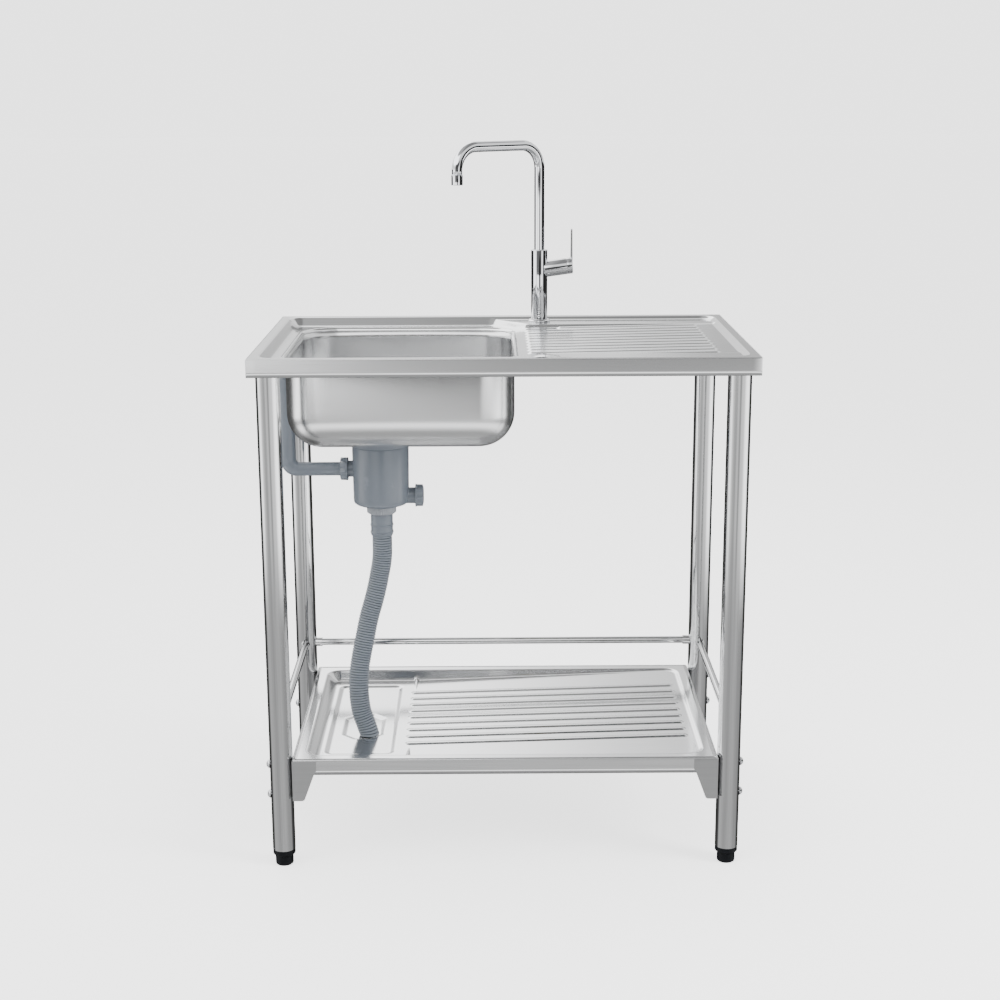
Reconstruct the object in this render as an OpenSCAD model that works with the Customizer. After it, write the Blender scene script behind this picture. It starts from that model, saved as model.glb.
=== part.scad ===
// Free-standing stainless steel sink unit: pressed top with one drawn bowl and a ribbed
// drainer, four tubular legs with screw feet, a pressed undershelf in folded brackets,
// three tube rails, a side-lever tap with a swivel spout, and a plastic waste kit.
// Millimetres. Origin on the floor under the middle of the top; X to the right as seen by
// the person at the sink, Y to the rear, Z up.

/* [Sink top] */
// Width of the sink top
top_w = 800; // [760:10:1000]
// Depth of the sink top, front to back
top_d = 500; // [490:10:600]
// Height of the rim above the floor
top_h = 860; // [780:10:900]
// Height of the apron folded down all round
apron_h = 29; // [26:1:40]
// Thickness of the pressed sheet
sheet_t = 1.2; // [1:0.1:1.5]
// Width of the flat rim
rim_w = 16; // [12:1:20]
// Corner radius of the sunk field at the rim
rim_corner_r = 25; // [20:1:32]
// Depth of the flat around the bowl below the rim
surround_drop = 14; // [12:1:16]
// Depth of the two tap ledges below the rim
ledge_drop = 5; // [4:0.5:7]
// Width of the two tap ledges, from the top's edges
ledge_w = 82; // [78:1:86]
// Depth of the drainer floor at its outer end
drainer_high_drop = 6.5; // [5.5:0.5:8]
// Depth of the drainer floor beside the bowl
drainer_low_drop = 11.5; // [10:0.5:12.5]
// Distance of the drainer ribs' inner ends from the bowl
drainer_gap = 28; // [26:1:42]
// Distance of the drainer ribs' outer ends from the right end of the top
drainer_end = 60; // [50:5:100]
// Distance of the two outermost ribs' ends from the tap holes' middle
drainer_tap_gap = 36.5; // [31:0.5:50]

/* [Ribs] */
// Distance from rib to rib
rib_pitch = 31; // [28:0.5:32]
// Width of a rib at the sheet
rib_w = 14; // [10:0.5:16]
// Height of a rib above the sheet
rib_h = 2.5; // [1.5:0.25:3]
// Ribs on each side of the drainer's middle rib
drainer_side_ribs = 5; // [4:1:5]
// Ribs on each side of the shelf's middle rib
shelf_side_ribs = 4; // [3:1:4]

/* [Bowl] */
// Width of the bowl inside
bowl_w = 370; // [350:5:376]
// Distance of the bowl's front and rear walls from the top's edges
bowl_margin = 60; // [57:1:75]
// Depth of the bowl below the flat around it
bowl_depth = 148; // [130:1:160]
// Corner radius of the bowl seen from above
bowl_corner_r = 60; // [58:1:70]
// Radius between the bowl's walls and its floor
bowl_floor_r = 56; // [40:1:57]
// Radius of the rolled edge of the opening
lip_r = 5; // [4:0.5:6]
// Distance of the bowl's left wall from the left end of the top
bowl_side = 48; // [45:1:54]
// Distance of the waste's middle from the bowl's middle, to the left
drain_shift = 43; // [33:1:49]
// Depth of the sunk seat for the waste
seat_drop = 5; // [4:0.5:6]
// Radius of the sunk seat
seat_r = 59; // [58:1:62]

/* [Legs and feet] */
// Distance of a leg's middle from the end of the top
leg_inset_x = 29; // [24:1:50]
// Distance of a leg's middle from the front or rear edge of the top
leg_inset_y = 36; // [24:1:46]
// Outer radius of a leg tube
leg_r = 19; // [16:0.5:20]
// Wall of a leg tube
leg_wall = 1.5; // [1.2:0.1:2]
// Height of a leg's lower end above the floor
leg_bottom = 28; // [26:1:40]
// Radius of a foot
foot_r = 15; // [13:0.5:17]
// Height of a foot
foot_h = 18; // [14:1:22]
// Radius of a foot's screw
foot_screw_r = 5; // [4:0.5:6]
// How far a foot screws out
foot_travel = 15; // [10:1:20]

/* [Rails] */
// Height of the rails' middle above the floor
rail_z = 247; // [230:1:270]
// Radius of a rail tube
rail_r = 6.4; // [5:0.2:8]
// Wall of a rail tube
rail_wall = 1; // [0.8:0.1:1.5]
// Length of a rail's end cup
rail_cup_len = 11; // [9:1:14]
// Wall of a rail's end cup
rail_cup_wall = 1.8; // [1.5:0.1:2.5]

/* [Undershelf] */
// Height of the shelf's rim above the floor
shelf_z = 191; // [150:1:230]
// How far the shelf reaches past the legs' middles, front and back
shelf_past_legs = 17; // [11:1:21]
// Height of the shelf's folded edge
shelf_edge_h = 26.5; // [24:0.5:30]
// Width of the shelf's flat rim
shelf_rim_w = 21; // [18:1:24]
// Depth of the tray's floor at the flat end
tray_drop = 15.5; // [14:0.5:17]
// Depth of the tray's floor at the far end of the ribs
tray_high_drop = 3; // [2.5:0.5:5]
// Width of the flat end of the tray
tray_flat_w = 157.7; // [154:0.1:162]
// Distance of the ribs' right ends from the tray's right wall
shelf_rib_margin = 23.7; // [22:0.1:40]
// Width of the sunk panel at the flat end
panel_w = 118; // [110:1:122]
// Distance of the sunk panel from the shelf's front and rear edges
panel_margin = 63; // [56:1:70]
// How far the panel is sunk below the tray's floor
panel_drop = 3; // [2:0.5:4]
// Distance of the sunk panel from the ribbed floor
panel_gap = 15; // [13:1:19]
// Width of the eight-sided recess in the panel
recess_w = 72; // [66:1:76]
// Its length, front to back
recess_d = 120; // [110:1:130]
// Middle of the recess, front to back
recess_y = -33; // [-40:1:-20]
// How far the recess is sunk below the panel
recess_drop = 2.5; // [2:0.5:3]
// Width of a bracket's corner plate at its top
gusset_w = 40; // [36:1:44]
// Height of the folded brackets
bracket_h = 70; // [60:1:76]
// Depth of the upper bolts below the shelf's rim
bolt_drop = 13; // [11:1:17]
// Height of the lower bolts above the brackets' lower edge
bolt_foot = 6.4; // [5.6:0.2:9]
// Radius of a bolt's shank
bolt_r = 3; // [2.5:0.5:4]
// Radius of a bolt's domed head
bolt_head_r = 7.2; // [6:0.1:9]
// Height of a bolt's head
bolt_head_h = 5.6; // [4:0.2:7]

/* [Tap] */
// Distance of the tap and of the second hole from the bowl's right wall
tap_shift = 49.5; // [48:0.5:52]
// Distance of the tap and of the second hole from the top's edges
tap_margin = 50; // [48:1:52]
// Radius of the tap holes
tap_hole_r = 17.5; // [16:0.5:18]
// Radius of the tap body
tap_r = 14.5; // [14.4:0.1:17]
// Height of the tap body's top above the ledge
tap_body_h = 129; // [124:1:150]
// Radius of the ring at the tap's foot
tap_ring_r = 19.5; // [19:0.5:22]
// Height of that ring
tap_ring_h = 5; // [4:0.5:7]
// Radius of the spout tube
spout_r = 9; // [8:0.5:9.5]
// Wall of the spout tube
spout_wall = 1.2; // [1:0.1:1.5]
// Height of the spout's highest point above the ledge
spout_h = 321; // [300:1:340]
// Reach of the spout
spout_reach = 182; // [170:1:200]
// Radius of the spout's bends at the tube's middle
spout_bend_r = 40; // [34:1:46]
// Angle of the spout from straight left towards the front
spout_turn = 38; // [0:1:60]
// Radius of the aerator
aerator_r = 10; // [9.8:0.1:12]
// Length of the aerator
aerator_len = 17; // [14:0.5:20]
// Straight run of the spout below its last bend
spout_tail = 6; // [2:1:12]
// Radius of the valve barrel
barrel_r = 14.3; // [14:0.1:14.4]
// Height of the barrel's middle above the ledge
barrel_h = 93; // [88:1:96]
// Length of the barrel from the tap's middle
barrel_len = 49; // [46:0.5:52]
// Slope of the barrel
barrel_tilt = 7; // [0:0.5:12]
// Turn of the barrel towards the rear
barrel_turn = 5; // [0:1:12]
// Length of the lever's hub
hub_len = 9.3; // [8.5:0.1:11]
// Height of the lever blade above the hub's middle
blade_h = 65; // [50:1:72]
// Thickness of the lever blade
blade_t = 2.8; // [2.2:0.1:3.2]
// Width of the lever blade at its root
blade_root_w = 15; // [12:0.5:16]
// Width of the lever blade at its tip
blade_tip_w = 11; // [8:0.5:14]

/* [Waste kit] */
// Radius of the pot at its shoulder
pot_r = 48.6; // [48:0.1:50]
// Height of the pot's collar
collar_h = 16.8; // [14.8:0.2:20]
// Height of the pot from its floor to its shoulder
pot_h = 102; // [98:1:112]
// Wall of the plastic parts
plastic_wall = 2.4; // [2:0.1:2.8]
// Height of the overflow branch above the pot's floor
overflow_branch_h = 60.5; // [56:0.5:70]
// Height of the lower branch with its cap above the pot's floor
cap_branch_h = 13; // [12:0.5:20]
// Radius of the two branches
branch_r = 14; // [13.5:0.1:15]
// Radius of the overflow pipe's level run
overflow_r = 11.75; // [10:0.25:12]
// Radius of its upright run
riser_r = 13.4; // [13:0.1:13.6]
// Depth of the overflow hole below the flat around the bowl
overflow_drop = 41; // [38:1:46]
// Radius of the hose's ribs
hose_r = 16.8; // [15:0.2:17]
// Height of a hose rib
hose_rib_h = 1.5; // [1:0.1:1.6]
// Radius of the hose's bore
hose_bore_r = 13.2; // [12:0.1:13.4]
// Number of ribs on the hose
hose_ribs = 80; // [60:1:100]

/* [Hidden] */

$fn = 64;
steel = [0.78, 0.79, 0.80];
polished = [0.86, 0.87, 0.88];
chrome = [0.80, 0.82, 0.85];
grey_plastic = [0.50, 0.53, 0.57];
light_plastic = [0.60, 0.63, 0.66];
black_plastic = [0.10, 0.11, 0.13];
rubber = [0.16, 0.16, 0.17];
brass = [0.75, 0.62, 0.35];

// One overrun for every cut
over = 2;
// Gap between two pieces of one body whose curved faces meet
seat_gap = 0.1;
// Gap between pieces that move past each other
run_gap = 0.3;
// Radial clearance of a turning or sliding fit
fit_gap = 0.06;
// Sideways run of a pressed wall for each millimetre of depth
wall_lean_share = 1;
// The shelf's walls are steeper
tray_lean_share = 0.65;
// Side of a square cutter that takes half of a shape away
half_cut = 2 * top_w;

// Places across the top, from its middle
bowl_x = bowl_side + bowl_w / 2 - top_w / 2;
bowl_d = top_d - 2 * bowl_margin;
bowl_left = bowl_x - bowl_w / 2 - sheet_t;
bowl_right = bowl_x + bowl_w / 2;
drain_x = bowl_x - drain_shift;
drainer_x0 = bowl_right + drainer_gap;
drainer_x1 = top_w / 2 - drainer_end;
tap_x = bowl_right + tap_shift;
tap_y = top_d / 2 - tap_margin;
drainer_outer_x0 = tap_x + drainer_tap_gap;
ledge_y = top_d / 2 - ledge_w;
leg_x = top_w / 2 - leg_inset_x;
leg_y = top_d / 2 - leg_inset_y;

// Heights of the top and the bowl
ledge_z = top_h - ledge_drop;
surround_z = top_h - surround_drop;
seam_z = surround_z - lip_r;
bowl_floor_z = surround_z - bowl_depth;
seat_z = bowl_floor_z - seat_drop;
rib_big_r = (rib_w * rib_w / 4 + rib_h * rib_h) / (2 * rib_h);

// Corner plates inside the apron that carry the legs
socket_drop = 20;
socket_t = 2;
socket_z = top_h - socket_drop;
socket_reach = 14;
socket_spigot_len = 40;
socket_spigot_wall = 1.6;
leg_top = socket_z - socket_t;
leg_bore_r = leg_r - leg_wall;

// Feet and their inserts
insert_collar_top = leg_bottom;
insert_collar_bottom = foot_h + run_gap;
insert_len = 30;
insert_inset = 0.25;
foot_screw_grip = 13;
foot_screw_len = foot_travel + foot_screw_grip;
foot_edge = 1.5;

// Brackets and shelf between the legs
bracket_x = leg_x - leg_r - seat_gap;
shelf_w = 2 * (bracket_x - sheet_t);
shelf_d = 2 * (leg_y + shelf_past_legs);
bracket_top = shelf_z - 2 * sheet_t;
bracket_bottom = bracket_top - bracket_h;
bolt_z1 = shelf_z - bolt_drop;
bolt_z2 = bracket_bottom + bolt_foot;
gusset_foot_w = 19;
gusset_corner_r = 6;
gusset_waist_share = 0.9;
gusset_side_share = 0.7;
bolt_gap = 0.3;
bolt_hole_r = bolt_r + bolt_gap;
bolt_tip = 1;
nut_h = 5;
nut_r = 5.8;
nut_fit = 0.1;

// Waste kit below the seat
flange_r = 57;
neck_r = 42;
neck_len = 30;
waste_gap = 1;
waste_hole_r = neck_r + waste_gap;
gasket_t = 3;
gasket_r = 54;
under_seat = seat_z - sheet_t;
collar_top = under_seat - gasket_t;
pot_top = collar_top - collar_h;
pot_bottom = pot_top - pot_h;
collar_r = 49.8;
pot_neck_r = 46;
lug_w = 5;
lug_d = 3;
lug_turn = -72;
pot_corner_r = 9;
pot_taper = 1;
pot_foot_r = pot_r - pot_taper;
outlet_r = 21;
outlet_len = 12.4;
outlet_end = pot_bottom - outlet_len;
outlet_nut_r = 25.4;
outlet_show = 4.5;
outlet_nut_top = pot_bottom - outlet_show;
outlet_nut_h = 13;
outlet_web = 2.4;
cuff_r = 19;
cuff_bore_r = 14.5;
cuff_len = 44.1;
cuff_bottom = outlet_end - cuff_len;
cuff_bead_r = 20.2;
cuff_bead_w = 2.2;
cuff_bead_shares = [0.118, 0.408];
branch_len = 60;
branch_end = drain_x - branch_len;
overflow_branch_z = pot_bottom + overflow_branch_h;
cap_branch_z = pot_bottom + cap_branch_h;
nut_flange_r = 19.9;
branch_nut_r = 18.8;
branch_nut_len = 13;
branch_nut_flange = 2.2;
branch_nut_grip = 4;
seal_t = 3;
pipe_in_branch = 8;
elbow_r = 17.5;
cap_branch_len = 69;
cap_len = 14.3;
cap_floor = 4;
cap_bore_len = cap_len - cap_floor;
cap_x = drain_x + cap_branch_len - cap_bore_len;
lobe_r = 1.3;
lobes = 8;
nut_edge = 0.8;

// Overflow at the bowl's left wall
overflow_hole_z = surround_z - overflow_drop;
head_gasket_t = 2;
head_gasket_r = 14;
head_flange_t = 2.5;
head_neck_r = 10;
head_bore_r = 8;
head_socket_wall = 1.6;
head_socket_r = riser_r + seat_gap + head_socket_wall;
head_drop = 18;
head_cone_h = 9;
head_socket_len = 15;
head_socket_top = overflow_hole_z - head_drop;
head_socket_bottom = head_socket_top - head_socket_len;
riser_stop = 2;
riser_top = head_socket_top - riser_stop;
riser_x = bowl_left - head_socket_r - seat_gap;
rosette_r = 17;
rosette_t = 2;
rosette_slot_w = 3.4;

// Basket in the waste
basket_rim_r = 47;
basket_gap = 0.9;
basket_r = neck_r - sheet_t - basket_gap;
basket_depth = 42;
basket_t = 1;
basket_hole_r = 2.4;
basket_ring_shares = [[6, 0.32], [12, 0.58], [18, 0.82]];
basket_knob_r = 8;
basket_knob_h = 26;

// Tap below and inside
shank_r = 13.5;
shank_bore_r = 10.6;
shank_len = 44;
shank_in_body = 8;
tap_washer_r = 24;
tap_washer_t = 3;
tap_nut_r = 22;
tap_nut_h = 9;
port_r = 4.4;
port_len = 14;
port_x = 5.2;
bush_wall = 1.6;
bush_r = spout_r + bush_wall;
spout_in_body = 28;
cover_r = 22;
cover_h = 3.4;
cover_stem_r = 4;
cover_stem_len = 22;
cover_nut_r = 21;
cover_nut_h = 6;
mesh_hole_r = 0.9;
mesh_ring_shares = [[1, 0], [6, 0.38], [12, 0.74]];
mouth_h = spout_h - spout_r - spout_bend_r - spout_tail - aerator_len;

// Valve, measured along the barrel from the tap's middle
valve_bore_r = 12.7;
valve_bore_s = 16.5;
pivot_depth = 12;
pivot_s = barrel_len - pivot_depth;
ball_r = 5;
stem_r = 3.4;
stem_pin_r = 1.5;
rotor_floor = 0.8;
rotor_rim = 3.4;
rotor_s0 = pivot_s - ball_r - rotor_floor;
rotor_s1 = pivot_s + rotor_rim;
rotor_r = valve_bore_r - run_gap;
dome_bore_r = 10.4;
dome_gap = 0.6;
dome_s0 = rotor_s1 + dome_gap;
dome_ball_r = sqrt(pow(barrel_len - pivot_s, 2) + pow(barrel_r, 2));
hub_rim_gap = 0.8;
hub_gap = 0.4;
hub_ball_r = dome_ball_r + hub_gap;
hub_s0 = barrel_len + hub_rim_gap;
hub_s1 = hub_s0 + hub_len;
blade_sink = 2;
stem_top = hub_s1 - 2 * blade_sink;

// Middle line of the waste hose, from the cuff to its bare end on the shelf
hose_route = [[-210, 0, 513.5], [-210, 0, 496.5], [-210.2, 0, 479.5], [-212, -1, 462],
  [-215.2, -3, 445], [-218.6, -6.5, 428], [-222.6, -10.5, 411], [-227.4, -14.5, 393.5],
  [-232.6, -18.8, 376], [-237, -23.8, 358], [-240.6, -29, 340], [-244.4, -34, 322],
  [-248, -39, 304], [-250.8, -44.5, 286], [-252.3, -49.6, 268], [-252.4, -54.4, 250],
  [-251, -58.4, 230], [-247.8, -61.8, 211], [-242, -64.4, 194], [-236.2, -67, 177]];

// Shared shapes

// A pocket sunk from z = 0 with rounded corners and walls that lean in
module pocket(w, d, r, depth, lean) {
  run = depth * lean;
  profile_x = [[-w / 2, over], [-w / 2, 0], [run - w / 2, -depth],
    [w / 2 - run, -depth], [w / 2, 0], [w / 2, over]];
  profile_y = [[-d / 2, over], [-d / 2, 0], [run - d / 2, -depth],
    [d / 2 - run, -depth], [d / 2, 0], [d / 2, over]];
  rotate([90, 0, 0]) linear_extrude(d - 2 * r, center = true) polygon(profile_x);
  rotate([90, 0, 90]) linear_extrude(w - 2 * r, center = true) polygon(profile_y);
  for (sx = [-1, 1], sy = [-1, 1]) translate([sx * (w / 2 - r), sy * (d / 2 - r), 0]) {
    translate([0, 0, -depth]) cylinder(r1 = r - run, r2 = r, h = depth);
    cylinder(r = r, h = over);
  }
}

// A wall profile, drawn outwards from a corner's axis, carried round a rounded rectangle
module swept_wall(w, d, r) {
  for (q = [0:3]) rotate([0, 0, 90 * q]) {
    across = q % 2 == 0 ? w : d;
    along = q % 2 == 0 ? d : w;
    translate([across / 2 - r, along / 2 - r, 0]) rotate_extrude(angle = 90) children();
    translate([across / 2 - r, along / 2 - r, 0]) rotate([90, 0, 0])
      linear_extrude(along - 2 * r) children();
  }
}

// A flat plate with rounded corners
module rounded_plate(w, d, r, h) {
  translate([-w / 2, r - d / 2, 0]) cube([w, d - 2 * r, h]);
  translate([r - w / 2, -d / 2, 0]) cube([w - 2 * r, d, h]);
  for (sx = [-1, 1], sy = [-1, 1])
    translate([sx * (w / 2 - r), sy * (d / 2 - r), 0]) cylinder(r = r, h = h);
}

// A raised rib with round ends between two points of the sheet
module rib(x0, z0, x1, z1, y) {
  slope = atan2(z1 - z0, x1 - x0);
  len = norm([x1 - x0, z1 - z0]);
  translate([x0, y, z0 + rib_h - rib_big_r]) rotate([0, 90 - slope, 0])
    rotate_extrude() intersection() {
      union() {
        circle(r = rib_big_r);
        translate([0, len]) circle(r = rib_big_r);
        square([rib_big_r, len]);
      }
      translate([0, -2 * rib_big_r]) square([2 * rib_big_r, len + 4 * rib_big_r]);
    }
}

// A tube along +Z
module tube(r, bore, h) {
  difference() {
    cylinder(r = r, h = h);
    translate([0, 0, -over]) cylinder(r = bore, h = h + 2 * over);
  }
}

// A plastic nut's body: an edge at the top, and finger lobes that end inside it
module nut_body(r, h, edge, base) {
  rotate_extrude() polygon(concat(base, [[r, h - edge], [r - edge, h], [0, h]]));
  for (i = [0:lobes - 1]) rotate([0, 0, (i + 0.5) * 360 / lobes])
    translate([r - lobe_r / 2, 0, branch_nut_flange / 2])
      cylinder(r = lobe_r, h = h - edge * 1.5 - branch_nut_flange / 2, $fn = 24);
}

// Half outline of a dome of radius r and height h, for turning
module dome_outline(r, h) {
  ball_r = (r * r + h * h) / (2 * h);
  intersection() {
    translate([0, h - ball_r]) circle(r = ball_r, $fn = 360);
    square([2 * r, 2 * h]);
  }
}

// Places a shape at one of the four legs
module at_leg(sx, sy) {
  translate([sx * leg_x, sy * leg_y, 0]) mirror([sx < 0 ? 1 : 0, 0, 0])
    mirror([0, sy < 0 ? 1 : 0, 0]) children();
}

// Puts a shape on the valve's axis, with +Z along the barrel and +X downwards
module on_barrel() {
  translate([tap_x, tap_y, ledge_z + barrel_h]) rotate([0, 0, barrel_turn])
    rotate([0, 90 - barrel_tilt, 0]) children();
}

// Sink top

function drainer_drop(x) = drainer_low_drop
  + (drainer_high_drop - drainer_low_drop) * (x - drainer_x0) / (drainer_x1 - drainer_x0);

module drainer_floor() {
  flat_end = bowl_right + 1.5 * lip_r;
  deep = surround_drop + over;
  rotate([90, 0, 0]) linear_extrude(top_d, center = true) polygon([
    [flat_end, -surround_drop], [drainer_x0, -drainer_low_drop],
    [top_w / 2, -drainer_drop(top_w / 2)], [top_w / 2, -deep], [flat_end, -deep]]);
}

module tap_ledge() {
  deep = surround_drop + over;
  run = (deep - ledge_drop) * wall_lean_share;
  profile = [[0, -ledge_drop], [top_d, -ledge_drop], [top_d, -deep], [-run, -deep]];
  intersection() {
    translate([0, ledge_y, 0]) rotate([90, 0, 90]) linear_extrude(top_w, center = true)
      polygon(profile);
    translate([drainer_x0, ledge_y, 0]) rotate([0, 0, -45]) rotate([90, 0, 90])
      linear_extrude(2 * top_w, center = true) polygon(profile);
  }
}

module drainer_ribs() {
  for (i = [-drainer_side_ribs:drainer_side_ribs]) {
    start = abs(i) * rib_pitch + tap_hole_r > tap_y - cover_r ? drainer_outer_x0 : drainer_x0;
    rib(start, -drainer_drop(start), drainer_x1, -drainer_drop(drainer_x1), i * rib_pitch);
  }
}

// The pressed form as a solid; the sheet is this form less itself moved down
module top_form(grow) {
  block = 3 * surround_drop;
  difference() {
    translate([-top_w / 2 - grow, -top_d / 2 - grow, -block])
      cube([top_w + 2 * grow, top_d + 2 * grow, block]);
    difference() {
      pocket(top_w - 2 * rim_w, top_d - 2 * rim_w, rim_corner_r, surround_drop,
        wall_lean_share);
      drainer_floor();
      tap_ledge();
      mirror([0, 1, 0]) tap_ledge();
    }
  }
  drainer_ribs();
}

module lip_profile() {
  translate([bowl_corner_r + lip_r, 0]) intersection() {
    difference() {
      circle(r = lip_r);
      circle(r = lip_r - sheet_t);
    }
    translate([-lip_r, 0]) square(lip_r);
  }
}

module sink_top() {
  color(steel) difference() {
    translate([0, 0, top_h]) {
      difference() {
        top_form(0);
        translate([0, 0, -sheet_t]) top_form(over);
        translate([bowl_x, 0, -2 * surround_drop])
          rounded_plate(bowl_w + 2 * lip_r, bowl_d + 2 * lip_r, bowl_corner_r + lip_r,
            2 * surround_drop);
      }
      difference() {
        translate([-top_w / 2, -top_d / 2, -apron_h]) cube([top_w, top_d, apron_h]);
        translate([sheet_t - top_w / 2, sheet_t - top_d / 2, -apron_h - over])
          cube([top_w - 2 * sheet_t, top_d - 2 * sheet_t, apron_h + 2 * over]);
      }
      translate([bowl_x, 0, -surround_drop - lip_r])
        swept_wall(bowl_w, bowl_d, bowl_corner_r) lip_profile();
    }
    for (side = [-1, 1]) translate([tap_x, side * tap_y, ledge_z - surround_drop])
      cylinder(r = tap_hole_r, h = 2 * surround_drop);
  }
}

// Bowl

module bowl_profile() {
  r_in = bowl_floor_r;
  r_out = bowl_floor_r + sheet_t;
  depth = seam_z - bowl_floor_z;
  translate([bowl_corner_r - r_in, r_in - depth]) intersection() {
    difference() {
      circle(r = r_out);
      circle(r = r_in);
    }
    translate([0, -r_out]) square(r_out);
  }
  translate([bowl_corner_r, r_in - depth]) square([sheet_t, depth - r_in]);
  translate([0, -depth - sheet_t]) square([bowl_corner_r - r_in, sheet_t]);
}

module bowl() {
  floor_w = bowl_w - 2 * bowl_corner_r;
  floor_d = bowl_d - 2 * bowl_corner_r;
  seat_mouth_r = seat_r + seat_drop;
  color(steel) difference() {
    union() {
      translate([bowl_x, 0, seam_z]) swept_wall(bowl_w, bowl_d, bowl_corner_r) bowl_profile();
      translate([bowl_x - floor_w / 2, -floor_d / 2, bowl_floor_z - sheet_t])
        cube([floor_w, floor_d, sheet_t]);
      translate([drain_x, 0, seat_z - sheet_t])
        cylinder(r1 = seat_r, r2 = seat_mouth_r, h = seat_drop);
    }
    translate([drain_x, 0, seat_z]) {
      cylinder(r1 = seat_r, r2 = seat_mouth_r, h = seat_drop);
      translate([0, 0, seat_drop]) cylinder(r = seat_mouth_r, h = over);
      translate([0, 0, -sheet_t - over]) cylinder(r = waste_hole_r, h = 2 * over + sheet_t);
    }
    translate([bowl_left, 0, overflow_hole_z]) rotate([0, 90, 0])
      cylinder(r = head_bore_r, h = 2 * sheet_t + over, center = true);
  }
}

// Legs

module leg_socket() {
  reach_x = top_w / 2 - sheet_t - leg_x;
  reach_y = top_d / 2 - sheet_t - leg_y;
  inner = leg_r + socket_reach / 2;
  cut = socket_reach;
  color(steel) {
    difference() {
      translate([0, 0, leg_top]) linear_extrude(socket_t) polygon([
        [reach_x, reach_y], [-inner, reach_y], [-inner, cut - inner],
        [cut - inner, -inner], [reach_x, -inner]]);
      translate([0, 0, leg_top - over])
        cylinder(r = leg_bore_r - seat_gap - socket_spigot_wall, h = socket_t + 2 * over);
    }
    translate([0, 0, leg_top - socket_spigot_len])
      tube(leg_bore_r - seat_gap, leg_bore_r - seat_gap - socket_spigot_wall,
        socket_spigot_len);
  }
}

module leg() {
  color(polished) difference() {
    translate([0, 0, leg_bottom]) tube(leg_r, leg_bore_r, leg_top - leg_bottom);
    for (z = [bolt_z1, bolt_z2]) translate([0, 0, z]) rotate([0, 90, 0])
      cylinder(r = bolt_hole_r, h = 2 * leg_r + 2 * over, center = true, $fn = 24);
  }
}

module foot_insert() {
  color(black_plastic) translate([0, 0, insert_collar_bottom]) difference() {
    union() {
      cylinder(r = leg_r - insert_inset, h = insert_collar_top - insert_collar_bottom);
      cylinder(r = leg_bore_r - seat_gap, h = insert_collar_top - insert_collar_bottom
        + insert_len);
    }
    translate([0, 0, -over]) cylinder(r = foot_screw_r + fit_gap,
      h = insert_collar_top - insert_collar_bottom + insert_len + 2 * over);
  }
}

module foot() {
  color(black_plastic) {
    cylinder(r1 = foot_r - foot_edge, r2 = foot_r, h = foot_edge);
    translate([0, 0, foot_edge]) cylinder(r = foot_r, h = foot_h - foot_edge);
    translate([0, 0, foot_h]) cylinder(r = foot_screw_r, h = foot_screw_len);
  }
}

// Rails

module rail(len) {
  color(polished) tube(rail_r, rail_r - rail_wall, len);
}

// A cup on a leg's side, mouth along +Z, the leg's middle at the origin
module rail_cup() {
  cup_r = rail_r + seat_gap + rail_cup_wall;
  color(polished) difference() {
    translate([0, 0, leg_r / 2]) cylinder(r = cup_r, h = leg_r / 2 + rail_cup_len);
    rotate([0, 90, 0]) cylinder(r = leg_r + run_gap, h = 4 * cup_r, center = true);
    translate([0, 0, leg_r + rail_cup_wall])
      cylinder(r = rail_r + seat_gap, h = rail_cup_len);
  }
}

rail_in = leg_r + rail_cup_wall + seat_gap;

module rear_rail() {
  translate([rail_in - leg_x, leg_y, rail_z]) rotate([0, 90, 0])
    rail(2 * (leg_x - rail_in));
}

module side_rail(side) {
  translate([side * leg_x, leg_y - rail_in, rail_z]) rotate([90, 0, 0])
    rail(2 * (leg_y - rail_in));
}

module rail_cups() {
  for (sx = [-1, 1]) {
    translate([sx * leg_x, leg_y, rail_z]) rotate([0, -90 * sx, 0]) rail_cup();
    for (sy = [-1, 1]) translate([sx * leg_x, sy * leg_y, rail_z])
      rotate([90 * sy, 0, 0]) rotate([0, 0, 90]) rail_cup();
  }
}

// Undershelf

tray_x1 = shelf_w / 2 - shelf_rim_w;
tray_x0 = shelf_rim_w + tray_flat_w - shelf_w / 2;
tray_rib_x0 = tray_x0 + rib_w / 2 + over;
shelf_rib_x1 = tray_x1 - shelf_rib_margin;
panel_x = tray_x0 - panel_gap - panel_w / 2;
panel_d = shelf_d - 2 * panel_margin;
recess_lean_share = 1.5;
recess_corner_share = 0.3;

function tray_drop_at(x) = tray_drop
  + (tray_high_drop - tray_drop) * (x - tray_x0) / (shelf_rib_x1 - tray_x0);

module tray_ramp() {
  deep = tray_drop + over;
  rotate([90, 0, 0]) linear_extrude(shelf_d, center = true) polygon([
    [tray_x0, -tray_drop], [tray_x1, -tray_drop_at(tray_x1)], [tray_x1, -deep],
    [tray_x0, -deep]]);
}

// A sunk band across the sheet with leaning walls
module sunk_band(w, depth, lean) {
  run = depth * lean;
  rotate([90, 0, 0]) linear_extrude(half_cut, center = true) polygon([[-w / 2, over],
    [-w / 2, 0], [run - w / 2, -depth], [w / 2 - run, -depth], [w / 2, 0], [w / 2, over]]);
}

// Eight-sided recess: four bands at 45 degrees to each other, where they all meet
module eight_sided_recess() {
  corner = recess_w * recess_corner_share;
  across = (recess_w + recess_d - 2 * corner) / sqrt(2);
  intersection() {
    sunk_band(recess_w, recess_drop, recess_lean_share);
    rotate([0, 0, 90]) sunk_band(recess_d, recess_drop, recess_lean_share);
    rotate([0, 0, 45]) sunk_band(across, recess_drop, recess_lean_share);
    rotate([0, 0, -45]) sunk_band(across, recess_drop, recess_lean_share);
  }
}

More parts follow.
